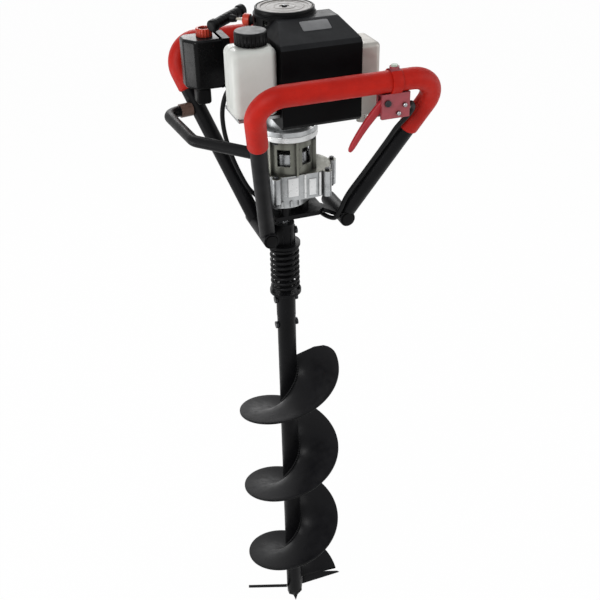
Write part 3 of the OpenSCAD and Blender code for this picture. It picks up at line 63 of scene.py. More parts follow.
def aim_camera():
    """A camera that looks down by the pitch at a point near the bit's axis, yawed to the left and rolled
    a little."""
    yaw, pitch, roll = np.radians([-19.4, 32.1, -1.17])
    distance, target = 1.683, np.array([0.0262, 0.0, 0.830])
    forward = np.array([0, np.cos(pitch), -np.sin(pitch)])
    right = np.array([1.0, 0, 0])
    above = np.array([0, np.sin(pitch), np.cos(pitch)])
    spin = np.array([[np.cos(yaw), -np.sin(yaw), 0], [np.sin(yaw), np.cos(yaw), 0], [0, 0, 1]])
    image_x = spin @ (np.cos(roll) * right + np.sin(roll) * above)
    image_y = spin @ (np.cos(roll) * above - np.sin(roll) * right)
    place = spin @ (target - distance * forward)
    camera = bpy.data.objects.new("camera", bpy.data.cameras.new("camera"))
    camera.data.lens = 54
    camera.data.sensor_width = 36
    camera.data.clip_end = 60
    turn = np.column_stack([image_x, image_y, -(spin @ forward)])
    camera.matrix_world = Matrix.Translation(Vector(place)) @ Matrix(turn.tolist()).to_4x4()
    bpy.context.scene.collection.objects.link(camera)
    bpy.context.scene.camera = camera


def add_softbox(name, place, target, size, power):
    """A square area lamp at a place, turned to face a target."""
    lamp = bpy.data.lights.new(name, "AREA")
    lamp.shape = "SQUARE"
    lamp.size = size
    lamp.energy = power
    box = bpy.data.objects.new(name, lamp)
    box.location = place
    box.rotation_euler = (Vector(target) - Vector(place)).to_track_quat("-Z", "Y").to_euler()
    bpy.context.scene.collection.objects.link(box)


def node(tree, kind, props=None, **inputs):
    """One shader node; an input is a value or a socket to link, and spaces in its name are written as _."""
    made = tree.nodes.new(kind)
    for key, value in (props or {}).items():
        setattr(made, key, value)
    for key, value in inputs.items():
        socket = made.inputs[key.replace("_", " ")]
        if isinstance(value, bpy.types.NodeSocket):
            tree.links.new(value, socket)
        else:
            socket.default_value = value
    return made


def seen_ray(tree):
    """1 for camera, glossy and transmission rays, 0 for the rays that only carry light."""
    path = node(tree, "ShaderNodeLightPath").outputs
    glossy = node(tree, "ShaderNodeMath", {"operation": "MAXIMUM"})
    tree.links.new(path["Is Camera Ray"], glossy.inputs[0])
    tree.links.new(path["Is Glossy Ray"], glossy.inputs[1])
    seen = node(tree, "ShaderNodeMath", {"operation": "MAXIMUM"})
    tree.links.new(glossy.outputs[0], seen.inputs[0])
    tree.links.new(path["Is Transmission Ray"], seen.inputs[1])
    return seen.outputs[0]


def light_studio():
    """A white world that lights softly, four softboxes, and a pale floor that keeps a faint shadow."""
    scene = bpy.context.scene
    scene.view_settings.view_transform = "Standard"
    world = bpy.data.worlds.new("studio")
    world.use_nodes = True
    tree = world.node_tree
    tree.nodes.clear()
    soft = node(tree, "ShaderNodeBackground", Color=(1, 1, 1, 1), Strength=0.32)
    shown = node(tree, "ShaderNodeBackground", Color=(1, 1, 1, 1), Strength=1.0)
    both = node(tree, "ShaderNodeMixShader", Fac=seen_ray(tree))
    tree.links.new(soft.outputs[0], both.inputs[1])
    tree.links.new(shown.outputs[0], both.inputs[2])
    tree.links.new(both.outputs[0], node(tree, "ShaderNodeOutputWorld").inputs[0])
    scene.world = world
    middle = (0.02, 0, 1.1)
    add_softbox("key_softbox", (-2.1, -1.7, 2.6), middle, 1.4, 46)
    add_softbox("fill_softbox", (2.4, -1.4, 1.8), middle, 1.6, 20)
    add_softbox("back_softbox", (0.4, 2.4, 2.5), middle, 1.6, 34)
    add_softbox("left_softbox", (-2.1, 0.3, 0.75), (-0.1, 0, 1.25), 0.7, 12)

    size = 30
    mesh = bpy.data.meshes.new("floor")
    corners = [(-size, -size, 0), (size, -size, 0), (size, size, 0), (-size, size, 0)]
    mesh.from_pydata(corners, [], [(0, 1, 2, 3)])
    floor = bpy.data.objects.new("floor", mesh)
    scene.collection.objects.link(floor)
    paper = bpy.data.materials.new("pale_floor")
    paper.use_nodes = True
    tree = paper.node_tree
    tree.nodes.clear()
    matt = node(tree, "ShaderNodeBsdfDiffuse", Color=(0.9, 0.9, 0.9, 1))
    white = node(tree, "ShaderNodeEmission", Color=(1, 1, 1, 1), Strength=1.0)
    share = node(tree, "ShaderNodeMath", {"operation": "MULTIPLY"})
    tree.links.new(seen_ray(tree), share.inputs[0])
    share.inputs[1].default_value = 0.98
    mixed = node(tree, "ShaderNodeMixShader", Fac=share.outputs[0])
    tree.links.new(matt.outputs[0], mixed.inputs[1])
    tree.links.new(white.outputs[0], mixed.inputs[2])
    tree.links.new(mixed.outputs[0], node(tree, "ShaderNodeOutputMaterial").inputs[0])
    mesh.materials.append(paper)


aim_camera()
light_studio()


# Materials: procedural, on Object coordinates in metres

def tint(code):
    """The linear colour of a six-digit sRGB code."""
    parts = np.array([int(code[i:i + 2], 16) for i in (0, 2, 4)]) / 255
    linear = np.where(parts <= 0.04045, parts / 12.92, ((parts + 0.055) / 1.055) ** 2.4)
    return (*linear.tolist(), 1.0)


def mix_colour(tree, share, first, second):
    """The colour that goes from the first to the second as the share goes from 0 to 1."""
    made = tree.nodes.new("ShaderNodeMix")
    made.data_type = "RGBA"
    for index, value in ((0, share), (6, first), (7, second)):
        if isinstance(value, bpy.types.NodeSocket):
            tree.links.new(value, made.inputs[index])
        else:
            made.inputs[index].default_value = value
    return made.outputs[2]


def span(tree, value, low, high, to_low, to_high):
    """A value mapped from one range to another, clamped."""
    made = node(tree, "ShaderNodeMapRange", Value=value, From_Min=low, From_Max=high,
                To_Min=to_low, To_Max=to_high)
    return made.outputs[0]


def combine(tree, operation, first, second):
    """Two values joined by one arithmetic operation."""
    made = node(tree, "ShaderNodeMath", {"operation": operation})
    for index, value in enumerate((first, second)):
        if isinstance(value, bpy.types.NodeSocket):
            tree.links.new(value, made.inputs[index])
        else:
            made.inputs[index].default_value = value
    return made.outputs[0]


def noise(tree, place, scale, detail=2, rough=0.5):
    """Noise with a feature size of about 1 / scale metres."""
    made = node(tree, "ShaderNodeTexNoise", Vector=place, Scale=scale, Detail=detail, Roughness=rough)
    return made.outputs[0]


def object_place(tree):
    """The place on the object, in metres."""
    return node(tree, "ShaderNodeTexCoord").outputs["Object"]


def edge_share(tree, radius, low=0.02, high=0.22):
    """1 on outer and inner edges, 0 on faces: how far the rounded normal leaves the true one."""
    rounded = node(tree, "ShaderNodeBevel", {"samples": 6}, Radius=radius)
    true = node(tree, "ShaderNodeNewGeometry")
    both = node(tree, "ShaderNodeVectorMath", {"operation": "DOT_PRODUCT"})
    tree.links.new(rounded.outputs[0], both.inputs[0])
    tree.links.new(true.outputs["Normal"], both.inputs[1])
    return span(tree, both.outputs["Value"], 1 - low, 1 - high, 0, 1)


def finish(name, colour, shade, rough, spread=0.06, metallic=0.0, blotch=40, grain=900, grain_depth=0.00004,
           round_edge=0.0006, wear=None, wear_rough=0.4, specular=0.5, subsurface=0.0, sheen=0.0, sky_reflection=None,
           corner_shade=None, shade_band=None):
    """A surface with blotches between two colours, uneven gloss, a fine grain in relief and edges rounded in
    the shading; where a colour is given, also worn edges, a painted reflection of the sky on faces that look
    up, painted shade in corners, and a band of painted shade between two heights in metres."""
    made = bpy.data.materials.new(name)
    made.use_nodes = True
    tree = made.node_tree
    tree.nodes.clear()
    place = object_place(tree)
    patches = span(tree, noise(tree, place, blotch, 4, 0.6), 0.3, 0.7, 0, 1)
    base = mix_colour(tree, patches, tint(colour), tint(shade))
    gloss = span(tree, noise(tree, place, blotch * 3.1, 3), 0.3, 0.7, rough - spread, rough + spread)
    if wear:
        rubbed = combine(tree, "MULTIPLY", edge_share(tree, round_edge * 2),
                         span(tree, noise(tree, place, 160, 5, 0.7), 0.46, 0.62, 0, 1))
        base = mix_colour(tree, rubbed, base, tint(wear))
        gloss = node(tree, "ShaderNodeMix", Factor=rubbed, A=gloss, B=wear_rough).outputs[0]
    # painted shade: a darker colour over a band of heights, used for the shaded bell
    if shade_band:
        shade_colour, low, high = shade_band
        height = node(tree, "ShaderNodeSeparateXYZ", Vector=place).outputs[2]
        inside = combine(tree, "MULTIPLY", combine(tree, "GREATER_THAN", height, low),
                         combine(tree, "LESS_THAN", height, high))
        base = mix_colour(tree, inside, base, tint(shade_colour))
    # painted reflection: faces that look up are lightened in uneven patches, standing in for the sky seen in
    # them
    if sky_reflection:
        geometry = node(tree, "ShaderNodeNewGeometry")
        normal = node(tree, "ShaderNodeSeparateXYZ", Vector=geometry.outputs["Normal"])
        reflection_share = combine(tree, "MULTIPLY", span(tree, normal.outputs[2], 0.25, 0.95, 0, 1),
                          span(tree, noise(tree, place, blotch, 5, 0.65), 0.25, 0.65, 0.55, 1))
        base = mix_colour(tree, reflection_share, base, tint(sky_reflection))
    # painted shade: ambient occlusion darkens corners and creases towards the given colour
    if corner_shade:
        open_share = node(tree, "ShaderNodeAmbientOcclusion", {"samples": 6}, Distance=0.018).outputs["AO"]
        base = mix_colour(tree, span(tree, open_share, 0.35, 0.9, 0.9, 0), base, tint(corner_shade))
    relief = node(tree, "ShaderNodeBump", Strength=0.7, Distance=grain_depth,
                  Height=noise(tree, place, grain, 3))
    if round_edge:
        tree.links.new(node(tree, "ShaderNodeBevel", {"samples": 4}, Radius=round_edge).outputs[0],
                       relief.inputs["Normal"])
    shader = node(tree, "ShaderNodeBsdfPrincipled", Base_Color=base, Roughness=gloss, Metallic=metallic,
                  Normal=relief.outputs[0], Specular_IOR_Level=specular,
                  Subsurface_Weight=subsurface, Subsurface_Radius=(1, 1, 1), Subsurface_Scale=0.004,
                  Sheen_Weight=sheen)
    tree.links.new(shader.outputs[0], node(tree, "ShaderNodeOutputMaterial").inputs[0])
    return made


def foam_finish(name, colour, shade):
    """Closed-cell foam: small cells in relief with painted shade in their pits, faint long patches, a dull
    sheen.
    """
    made = bpy.data.materials.new(name)
    made.use_nodes = True
    tree = made.node_tree
    tree.nodes.clear()
    place = object_place(tree)
    patches = span(tree, noise(tree, place, 26, 4, 0.6), 0.3, 0.7, 0, 1)
    cells = node(tree, "ShaderNodeTexVoronoi", Vector=place, Scale=1100).outputs["Distance"]
    # painted shade: the pits at the cells' middles are darkened towards a deep red
    pit_shade = span(tree, cells, 0.0, 0.55, 1, 0)
    base = mix_colour(tree, patches, tint(colour), tint(shade))
    base = mix_colour(tree, combine(tree, "MULTIPLY", pit_shade, 0.25), base, tint("5a0806"))
    height = combine(tree, "ADD", cells, combine(tree, "MULTIPLY", noise(tree, place, 350, 3), 0.8))
    relief = node(tree, "ShaderNodeBump", Strength=0.5, Distance=0.00025, Height=height)
    gloss = span(tree, noise(tree, place, 70, 3), 0.3, 0.7, 0.42, 0.56)
    shader = node(tree, "ShaderNodeBsdfPrincipled", Base_Color=base, Roughness=gloss,
                  Normal=relief.outputs[0], Specular_IOR_Level=0.2)
    tree.links.new(shader.outputs[0], node(tree, "ShaderNodeOutputMaterial").inputs[0])
    return made


FINISHES = {
    "foam_red": foam_finish("foam_red", "c61f10", "ad160b"),
    "frame_black": finish("frame_black", "08080a", "0e0e10", 0.42, 0.07, blotch=18, grain=260,
                          grain_depth=0.00006, wear="242528", specular=0.11),
    "bit_black": finish("bit_black", "09090a", "0f0f11", 0.36, 0.09, blotch=22, grain=420,
                        grain_depth=0.0001, wear="38383a", wear_rough=0.35, specular=0.09, sky_reflection="18181a"),
    "cover_black": finish("cover_black", "040405", "070708", 0.42, 0.05, blotch=30, grain=1400,
                          grain_depth=0.00006, round_edge=0.004, specular=0.06, sky_reflection="2c2d2f"),
    "plastic_black": finish("plastic_black", "050506", "09090a", 0.4, 0.05, blotch=30, grain=1400,
                            grain_depth=0.00006, round_edge=0.001, specular=0.1, sky_reflection="121315"),
    "filter_black": finish("filter_black", "050506", "09090a", 0.26, 0.04, blotch=30, grain=1400,
                           grain_depth=0.00003, round_edge=0.001, specular=0.12, sky_reflection="1d1e20"),
    "patch_grey": finish("patch_grey", "77787a", "6b6c6e", 0.34, 0.04, blotch=90, grain=1400,
                         grain_depth=0.00002, specular=0.3),
    "plastic_red": finish("plastic_red", "b2323a", "a02a30", 0.4, 0.05, blotch=36, grain=1200,
                          grain_depth=0.00003, round_edge=0.0008, specular=0.3, subsurface=0.05),
    "knob_orange": finish("knob_orange", "d23f25", "b8341d", 0.4, 0.05, blotch=60, grain=1200,
                          grain_depth=0.00003, round_edge=0.0008, specular=0.35, subsurface=0.05,
                          corner_shade="200806"),
    "bracket_red": finish("bracket_red", "ad4a53", "98424a", 0.34, 0.06, blotch=70, grain=1200,
                          grain_depth=0.00003, round_edge=0.002, subsurface=0.08, corner_shade="4a1014"),
    "button_pale": finish("button_pale", "c3d2c4", "b6c8b8", 0.35, 0.04, blotch=80, grain=1200,
                          grain_depth=0.00002, subsurface=0.1),
    "tank_white": finish("tank_white", "d8dad6", "ced0cb", 0.38, 0.05, blotch=20, grain=500,
                         grain_depth=0.00005, specular=0.3, subsurface=0.3),
    "disc_beige": finish("disc_beige", "7d7873", "686461", 0.45, 0.06, blotch=45, grain=900,
                         grain_depth=0.00004, specular=0.3),
    "cord_black": finish("cord_black", "08080a", "0e0e0f", 0.42, 0.06, blotch=60, grain=1200,
                         grain_depth=0.00004, round_edge=0, specular=0.16),
    "hose_dark": finish("hose_dark", "3a3630", "2c2925", 0.36, 0.05, blotch=70, grain=800,
                        grain_depth=0.00003, round_edge=0, specular=0.3),
    "rope_pale": finish("rope_pale", "cfcabc", "b9b4a4", 0.75, 0.05, blotch=300, grain=4000,
                        grain_depth=0.0001, round_edge=0, sheen=0.2),
    "cast_aluminium": finish("cast_aluminium", "bfc1c2", "999c9d", 0.37, 0.08, metallic=0.8, blotch=48,
                             grain=420, grain_depth=0.0001, round_edge=0.0016, wear="e8eaea",
                             wear_rough=0.22, corner_shade="141413"),
    # the bell: cast aluminium with painted shade in a band over the bell and in its corners
    "bell_casting": finish("bell_casting", "bfc1c2", "999c9d", 0.37, 0.1, metallic=0.6, blotch=48,
                           grain=420, grain_depth=0.00008, round_edge=0.0016, wear="e8eaea",
                           wear_rough=0.22, corner_shade="121210", shade_band=("77786f", 1.0995, 1.1595)),
    # painted highlight: a near-white casting for the bell's rim and the pads and ribs that catch the light
    "highlight_casting": finish("highlight_casting", "f2f3f3", "e4e6e6", 0.32, 0.08, metallic=0.3, blotch=48,
                             grain=600, grain_depth=0.0001, round_edge=0.001),
    "steel": finish("steel", "a9abad", "949698", 0.3, 0.08, metallic=1.0, blotch=90, grain=900,
                    grain_depth=0.00004),
    "dark_steel": finish("dark_steel", "38393b", "2b2c2e", 0.4, 0.08, metallic=0.9, blotch=90, grain=900,
                         grain_depth=0.00005, wear="7d7e80"),
    "muffler_steel": finish("muffler_steel", "b8b5af", "a6a29c", 0.46, 0.1, metallic=0.4, blotch=28,
                            grain=500, grain_depth=0.00005, round_edge=0.0015),
    "clamp_brown": finish("clamp_brown", "6f574d", "5a463e", 0.45, 0.08, blotch=90, grain=900,
                          grain_depth=0.00005, specular=0.3),
    "filter_foam": finish("filter_foam", "5b5d58", "484a46", 0.9, 0.05, blotch=120, grain=1500,
                          grain_depth=0.0004, round_edge=0),
}

NODE_FINISH = {
    "frame_black": ["front_handle_tube", "rear_handle_tube", "side_rail", "base_frame"],
    "foam_red": ["front_grip", "rear_grip"],
    "bit_black": ["drive_collar", "shock_spring", "lower_sleeve", "auger_pipe", "auger_flight",
                  "cutter_blades", "pilot_point"],
    "cover_black": ["cylinder_cover", "starter_housing"],
    "plastic_black": ["fan_housing", "starter_handle", "fuel_cap", "filter_base", "filter_cover",
                      "ignition_coil", "intake_manifold"],
    "plastic_red": ["throttle_lever", "choke_lever"],
    "knob_orange": ["filter_knob"],
    "bracket_red": ["throttle_bracket"],
    "button_pale": ["stop_button"],
    "tank_white": ["fuel_tank", "starter_pulley"],
    "disc_beige": ["starter_disc", "spark_plug"],
    "cord_black": ["throttle_cable"],
    "hose_dark": ["fuel_hose"],
    "rope_pale": ["starter_rope"],
    "bell_casting": ["gearbox_upper"],
    "cast_aluminium": ["gearbox_lower", "bearing_plate", "crankcase_lower", "crankcase_upper",
                       "engine_cylinder", "carburettor", "flywheel", "piston"],
    "steel": ["crankshaft", "engine_pins", "connecting_rod", "engine_bearings", "gear_bearings",
              "input_pinion", "layshaft", "output_shaft", "output_gear", "throttle_arm", "clutch_drum"],
    "dark_steel": ["fasteners", "collar_bolt", "coupling_pins", "clutch_shoes"],
    "muffler_steel": ["muffler"],
    "filter_foam": ["filter_element"],
}
for finish_name, names in NODE_FINISH.items():
    for name in names:
        slots = NODES[name].material_slots
        if not slots:
            NODES[name].data.materials.append(FINISHES[finish_name])
        for slot in slots:
            slot.material = FINISHES[finish_name]


# Shapes

def outward(points, faces):
    """The faces, turned round if together they enclose a negative volume."""
    total = 0.0
    for corners in faces:
        corners = np.asarray(corners)
        first = points[corners[:, 0]]
        for k in range(1, corners.shape[1] - 1):
            total += np.einsum("ij,ij", first, np.cross(points[corners[:, k]], points[corners[:, k + 1]]))
    return [np.asarray(corners)[:, ::-1] if total < 0 else np.asarray(corners) for corners in faces]


def add_piece(name, points, faces, finish_name, sharp=38):
    """An object from points in millimetres and arrays of faces, smooth across edges below the sharp angle."""
    points = np.asarray(points, float)
    middle = points.mean(0)
    faces = outward(points - middle, faces)
    mesh = bpy.data.meshes.new(name)
    mesh.from_pydata((points * MM).tolist(), [], [face for corners in faces for face in corners.tolist()])
    mesh.shade_smooth()
    mesh.set_sharp_from_angle(angle=math.radians(sharp))
    mesh.materials.append(FINISHES[finish_name])
    piece = bpy.data.objects.new(name, mesh)
    bpy.context.scene.collection.objects.link(piece)
    return piece


def skin(grid, wrap_rows=False, first=0):
    """Points and faces of a grid of rows of closed rings; ends that don't wrap are closed by flat faces."""
    rows, cols = grid.shape[:2]
    r = np.arange(rows if wrap_rows else rows - 1)[:, None]
    c = np.arange(cols)[None, :]
    after, beside = (r + 1) % rows, (c + 1) % cols
    quads = np.stack([r * cols + c, r * cols + beside, after * cols + beside, after * cols + c], -1)
    faces = [quads.reshape(-1, 4) + first]
    if not wrap_rows:
        ring = np.arange(cols)[None, :]
        faces += [ring[:, ::-1] + first, ring + (rows - 1) * cols + first]
    return grid.reshape(-1, 3), faces


def add_skin(name, grid, finish_name, wrap_rows=False, sharp=38):
    """An object from a grid of rows of closed rings."""
    points, faces = skin(np.asarray(grid, float), wrap_rows)
    return add_piece(name, points, faces, finish_name, sharp)


def unit(v):
    """Vectors scaled to a length of 1."""
    return v / np.linalg.norm(v, axis=-1, keepdims=True)


def bent_path(corners, radius, step):
    """Points about one step apart along straight runs, with an arc of the radius at each inner corner."""
    corners = np.asarray(corners, float)
    points = [corners[:1]]
    for a, b, c in zip(corners, corners[1:], corners[2:]):
        before, after = unit(a - b), unit(c - b)
        half = np.arccos(np.clip(before @ after, -1, 1)) / 2
        centre = b + unit(before + after) * radius / np.sin(half)
        start = b + before * radius / np.tan(half)
        side, ahead = unit(start - centre), -before
        angle = np.linspace(0, np.pi - 2 * half, 24)[:, None]
        points.append(centre + radius * (np.cos(angle) * side + np.sin(angle) * ahead))
    points = np.concatenate(points + [corners[-1:]])
    return even_path(points, step)


def even_path(points, step):
    """The same path with points an even step apart along its length."""
    length = np.concatenate([[0], np.cumsum(np.linalg.norm(np.diff(points, axis=0), axis=1))])
    where = np.linspace(0, length[-1], max(2, int(round(length[-1] / step)) + 1))
    return np.stack([np.interp(where, length, points[:, k]) for k in range(3)], -1)


def flowing_path(points, steps):
    """A smooth curve through the points: on each stretch a cubic whose slopes are half the way between its
    neighbours."""
    p = np.asarray(points, float)
    p = np.concatenate([p[:1], p, p[-1:]])
    a, b, c, d = p[:-3, None], p[1:-2, None], p[2:-1, None], p[3:, None]
    t = np.linspace(0, 1, steps, endpoint=False)[None, :, None]
    curve = 0.5 * (2 * b + (c - a) * t + (2 * a - 5 * b + 4 * c - d) * t ** 2
                   + (3 * b - a - 3 * c + d) * t ** 3)
    return np.concatenate([curve.reshape(-1, 3), p[-1:]])


def carried_sides(path, side=None):
    """Across and up vectors along a path: each across vector is the last one made square to the path
    again."""
    way = unit(np.gradient(path, axis=0))
    if side is None:
        side = np.cross(way[0], [0, 0, 1.0] if abs(way[0, 2]) < 0.8 else [1.0, 0, 0])
    across = np.empty_like(path)
    for i, direction in enumerate(way):
        side = unit(side - direction * (side @ direction))
        across[i] = side
    return across, np.cross(way, across)


def carry(path, ring, side=None):
    """A ring of (across, up) points carried along a path; the ring may differ from point to point."""
    across, up = carried_sides(path, side)
    ring = np.broadcast_to(ring, (len(path),) + ring.shape[-2:])
    return path[:, None] + ring[..., :1] * across[:, None] + ring[..., 1:] * up[:, None]


def circle(radius, count):
    """Points on a circle; the radius may be an array over the points."""
    angle = np.arange(count) * TURN / count
    return np.stack([radius * np.cos(angle), radius * np.sin(angle)], -1)


def add_tube(name, path, radius, count, finish_name):
    """A round rod along a path, with flat ends."""
    return add_skin(name, carry(path, circle(radius, count)), finish_name)


def softened(corners, radii, steps=8, closed=True):
    """A flat outline with each corner replaced by an arc of its radius."""
    corners = np.asarray(corners, float)
    radii = np.broadcast_to(radii, len(corners))
    outline = []
    for i, (b, radius) in enumerate(zip(corners, radii)):
        if radius == 0 or (not closed and i in (0, len(corners) - 1)):
            outline.append(b[None])
            continue
        before = unit(corners[i - 1] - b)
        after = unit(corners[(i + 1) % len(corners)] - b)
        half = np.arccos(np.clip(before @ after, -1, 1)) / 2
        centre = b + unit(before + after) * radius / np.sin(half)
        start = b + before * radius / np.tan(half) - centre
        end = b + after * radius / np.tan(half) - centre
        share = np.linspace(0, 1, steps + 1)[:, None]
        sweep = np.pi - 2 * half
        arc = np.sin((1 - share) * sweep) * start + np.sin(share * sweep) * end
        outline.append(centre + arc / np.sin(sweep))
    return np.concatenate(outline)


def inset(outline, depth):
    """A smooth closed outline moved inwards by a depth along its own normals."""
    way = unit(np.roll(outline, -1, 0) - np.roll(outline, 1, 0))
    normal = np.stack([-way[:, 1], way[:, 0]], -1)
    x, y = outline.T
    area = np.sum(x * np.roll(y, -1) - y * np.roll(x, -1))
    return outline + np.sign(area) * depth * normal


def pillow(outline, low, high, edge, steps=6):
    """An outline raised from low to high, its upper and lower edges rounded: near an end, at height
    edge * (1 - cos a), the outline is inset by edge * (1 - sin a)."""
    angle = np.linspace(0, np.pi / 2, steps + 1)
    depth = edge * (1 - np.sin(angle))
    rise = edge * (1 - np.cos(angle))
    depths = np.concatenate([depth, depth[::-1]])
    heights = np.concatenate([low + rise, (high - rise)[::-1]])
    return np.stack([np.column_stack([inset(outline, d), np.full(len(outline), z)])
                     for d, z in zip(depths, heights)])


def turned(profile, count, ripple=0.0):
    """A profile of (radius, height) points turned round Z; the ripple is added to the radius at each
    angle."""
    profile = np.asarray(profile, float)
    angle = np.arange(count) * TURN / count
    radius = np.maximum(profile[:, :1] + ripple, 0.02)
    return np.stack([radius * np.cos(angle), radius * np.sin(angle),
                     np.repeat(profile[:, 1:], count, 1)], -1)


def rounded_box(low, high, corner, edge):
    """A box with its upright corners rounded by one radius and its upper and lower edges by another."""
    outline = softened([(low[0], low[1]), (high[0], low[1]), (high[0], high[1]), (low[0], high[1])], corner)
    return pillow(outline, low[2], high[2], edge)


def moved(grid, matrix):
    """A grid of points taken through a 4 x 4 matrix."""
    matrix = np.array(matrix)
    return np.asarray(grid) @ matrix[:3, :3].T + matrix[:3, 3]


def ride(piece, body, *nodes):
    """A piece that moves with a body and stands in for the nodes named."""
    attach(piece, body)
    if nodes:
        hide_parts(*nodes)
    return piece


# Frame tubes, foam grips and rail

BAR_Y, BAR_Z = 166, 1285
LEFT_FOOT_X, LEFT_FOOT_Z = -38, 985
RIGHT_FOOT_X, RIGHT_FOOT_Z = 101, 1005.25
FRONT = np.array([(LEFT_FOOT_X, -24, LEFT_FOOT_Z), (-96, -BAR_Y, BAR_Z), (212, -BAR_Y, BAR_Z),
                  (RIGHT_FOOT_X, -34, RIGHT_FOOT_Z)], float)
REAR = np.array([(LEFT_FOOT_X, 40, LEFT_FOOT_Z), (-148, BAR_Y, BAR_Z), (226, BAR_Y, BAR_Z), (92, 100, 1140),
                 (45, 64, 1018)], float)
TUBE_R, BEND_R, GRIP_R = 13.75, 40, 16.6
RAIL_R, RAIL_BEND_R, RAIL_Z = 9.5, 25, 1180


def along(a, b, length):
    """The point a length from a towards b."""
    return a + unit(b - a) * length


def leg_at(a, b, z):
    """The point at a height on the line through a and b."""
    return a + (b - a) * (z - a[2]) / (b[2] - a[2])


def foam_sleeve(name, corners):
    """A sleeve round a bent path: rounded ends, and shallow creases at an even pitch on the inner side of its
    bends."""
    step, count, crease_pitch, end_round = 1.5, 48, 6.0, 4.0
    path = bent_path(corners, BEND_R, step)
    across, up = carried_sides(path)
    bend = np.gradient(np.gradient(path, axis=0), axis=0) / step ** 2 * BEND_R
    kernel = np.ones(9) / 9
    bend = np.stack([np.convolve(bend[:, k], kernel, "same") for k in range(3)], -1)
    angle = np.arange(count) * TURN / count
    sideways, upwards = (bend * across).sum(1)[:, None], (bend * up).sum(1)[:, None]
    inner = np.clip(sideways * np.cos(angle) + upwards * np.sin(angle), 0, 1)
    place = np.arange(len(path)) * step
    crease = 0.5 * (1 + np.cos(TURN * place / crease_pitch))[:, None] * inner ** 2
    from_end = np.minimum(place, place[-1] - place)
    rounded = np.clip(1 - from_end / end_round, 0, 1)
    radius = GRIP_R - 0.35 * crease - 2.2 * (1 - np.sqrt(1 - rounded ** 2))[:, None]
    radius = radius + 0.08 * np.sin(place / 9.0)[:, None] * np.sin(angle * 2 + place[:, None] / 40)
    ring = np.stack([radius * np.cos(angle), radius * np.sin(angle)], -1)
    inside = carry(path, circle(TUBE_R + 0.3, count))[::-1]
    piece = add_skin(name, np.concatenate([carry(path, ring), inside]), "foam_red", wrap_rows=True)
    return piece


FRONT_FOAM = [along(FRONT[1], FRONT[0], 101), FRONT[1], FRONT[2], along(FRONT[2], FRONT[3], 113)]
REAR_FOAM = [along(REAR[1], REAR[0], 84), REAR[1], REAR[2], along(REAR[2], REAR[3], 98)]
RAIL = [leg_at(FRONT[0], FRONT[1], RAIL_Z), (-155, -25, RAIL_Z), (-168, 112, RAIL_Z),
        leg_at(REAR[0], REAR[1], RAIL_Z)]
ride(add_tube("front_tube", bent_path(FRONT, BEND_R, 4), TUBE_R, 40, "frame_black"),
     "powerhead", "front_handle_tube")
ride(add_tube("rear_tube", bent_path(REAR, BEND_R, 4), TUBE_R, 40, "frame_black"),
     "powerhead", "rear_handle_tube")
ride(foam_sleeve("front_foam", FRONT_FOAM), "powerhead", "front_grip")
ride(foam_sleeve("rear_foam", REAR_FOAM), "powerhead", "rear_grip")
ride(add_tube("side_rail_tube", bent_path(RAIL, RAIL_BEND_R, 3), RAIL_R, 32, "frame_black"),
     "powerhead", "side_rail")

clamp_path = np.stack([along(RAIL[3], np.array(RAIL[2], float), reach) for reach in (13, 20, 27, 34)])
ride(add_tube("rail_clamp", clamp_path, RAIL_R + 2.3, 32, "clamp_brown"), "powerhead")


# Cable, hose and rope

CABLE_R, HOSE_R = 4, 3
CABLE = [(148.1, -BAR_Y, 1246.3), (152.1, -BAR_Y, 1246.3), (156.1, -BAR_Y, 1246.3), (163, -158, 1236),
         (161, -146, 1219), (151, -130, 1196), (144, -112, 1168), (119, -81, 1105), (99, -57, 1056),
         (88, -50, 1026), (80, -44, 1008), (68, -20, 1006), (64, 20, 1006), (44, 58, 1007), (0, 62, 1008),
         (-22, 60, 1013), (-34, 49, 1030), (-50, 47, 1052), (-66, 53, 1090), (-78, 55, 1130),
         (-84, 55, 1165), (-84, 54, 1195), (-76, 54, 1221), (-60, 57, 1238), (-56, 61, 1250),
         (-57, 65.6, 1264)]
HOSE = [(-74, -47.9, 1251), (-74, -43.9, 1251), (-74, -39.9, 1250), (-70, -25, 1246), (-62, 0, 1242),
        (-53, 35, 1243), (-48, 57.9, 1244), (-48, 63.9, 1244), (-48, 69.9, 1244)]
ride(add_tube("throttle_sheath", flowing_path(CABLE, 8), CABLE_R, 20, "cord_black"),
     "powerhead", "throttle_cable")
ride(add_tube("fuel_line", flowing_path(HOSE, 8), HOSE_R, 20, "hose_dark"), "powerhead", "fuel_hose")

ENGINE_X, ROPE_Z = 12, 1342
ENGINE_AXIS = np.array([ENGINE_X, 0, 0])
PULL_PLACE = Matrix.Translation((ENGINE_X, 0, ROPE_Z)) @ Matrix.Rotation(math.radians(139), 4, "Z")
ROPE_PLACE = PULL_PLACE @ Matrix.Rotation(math.radians(90), 4, "Y")


def rope_strands():
    """A rope whose radius swells and shrinks round it, three swells that turn once in the lay's length."""
    first, last, step, count, lay = 38, 97.9, 0.7, 24, 14
    place = np.arange(first, last, step)
    path = np.column_stack([place, np.zeros((len(place), 2))])
    angle = np.arange(count) * TURN / count
    radius = 1.85 + 0.22 * np.abs(np.cos(1.5 * (angle[None] - TURN * place[:, None] / lay)))
    ring = np.stack([radius * np.cos(angle), radius * np.sin(angle)], -1)
    return moved(carry(path, ring), PULL_PLACE)


rope = add_skin("starter_cord", rope_strands(), "rope_pale")
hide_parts("starter_rope")
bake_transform(rope)


# Bit and shock absorber: flight, welds, spring and the sleeve inside it

ROOT_R, FLIGHT_R, FLIGHT_T = 17.6, 100, 5
FLIGHT_LOW_Z, FLIGHT_PITCH, FLIGHT_TURNS = 70, 203, 3.06
FLIGHT_START = math.radians(-4.4)


def flight_z(angle):
    """The height of the plate's lower face: it climbs by one pitch in a turn."""
    return FLIGHT_LOW_Z + FLIGHT_PITCH * angle / TURN


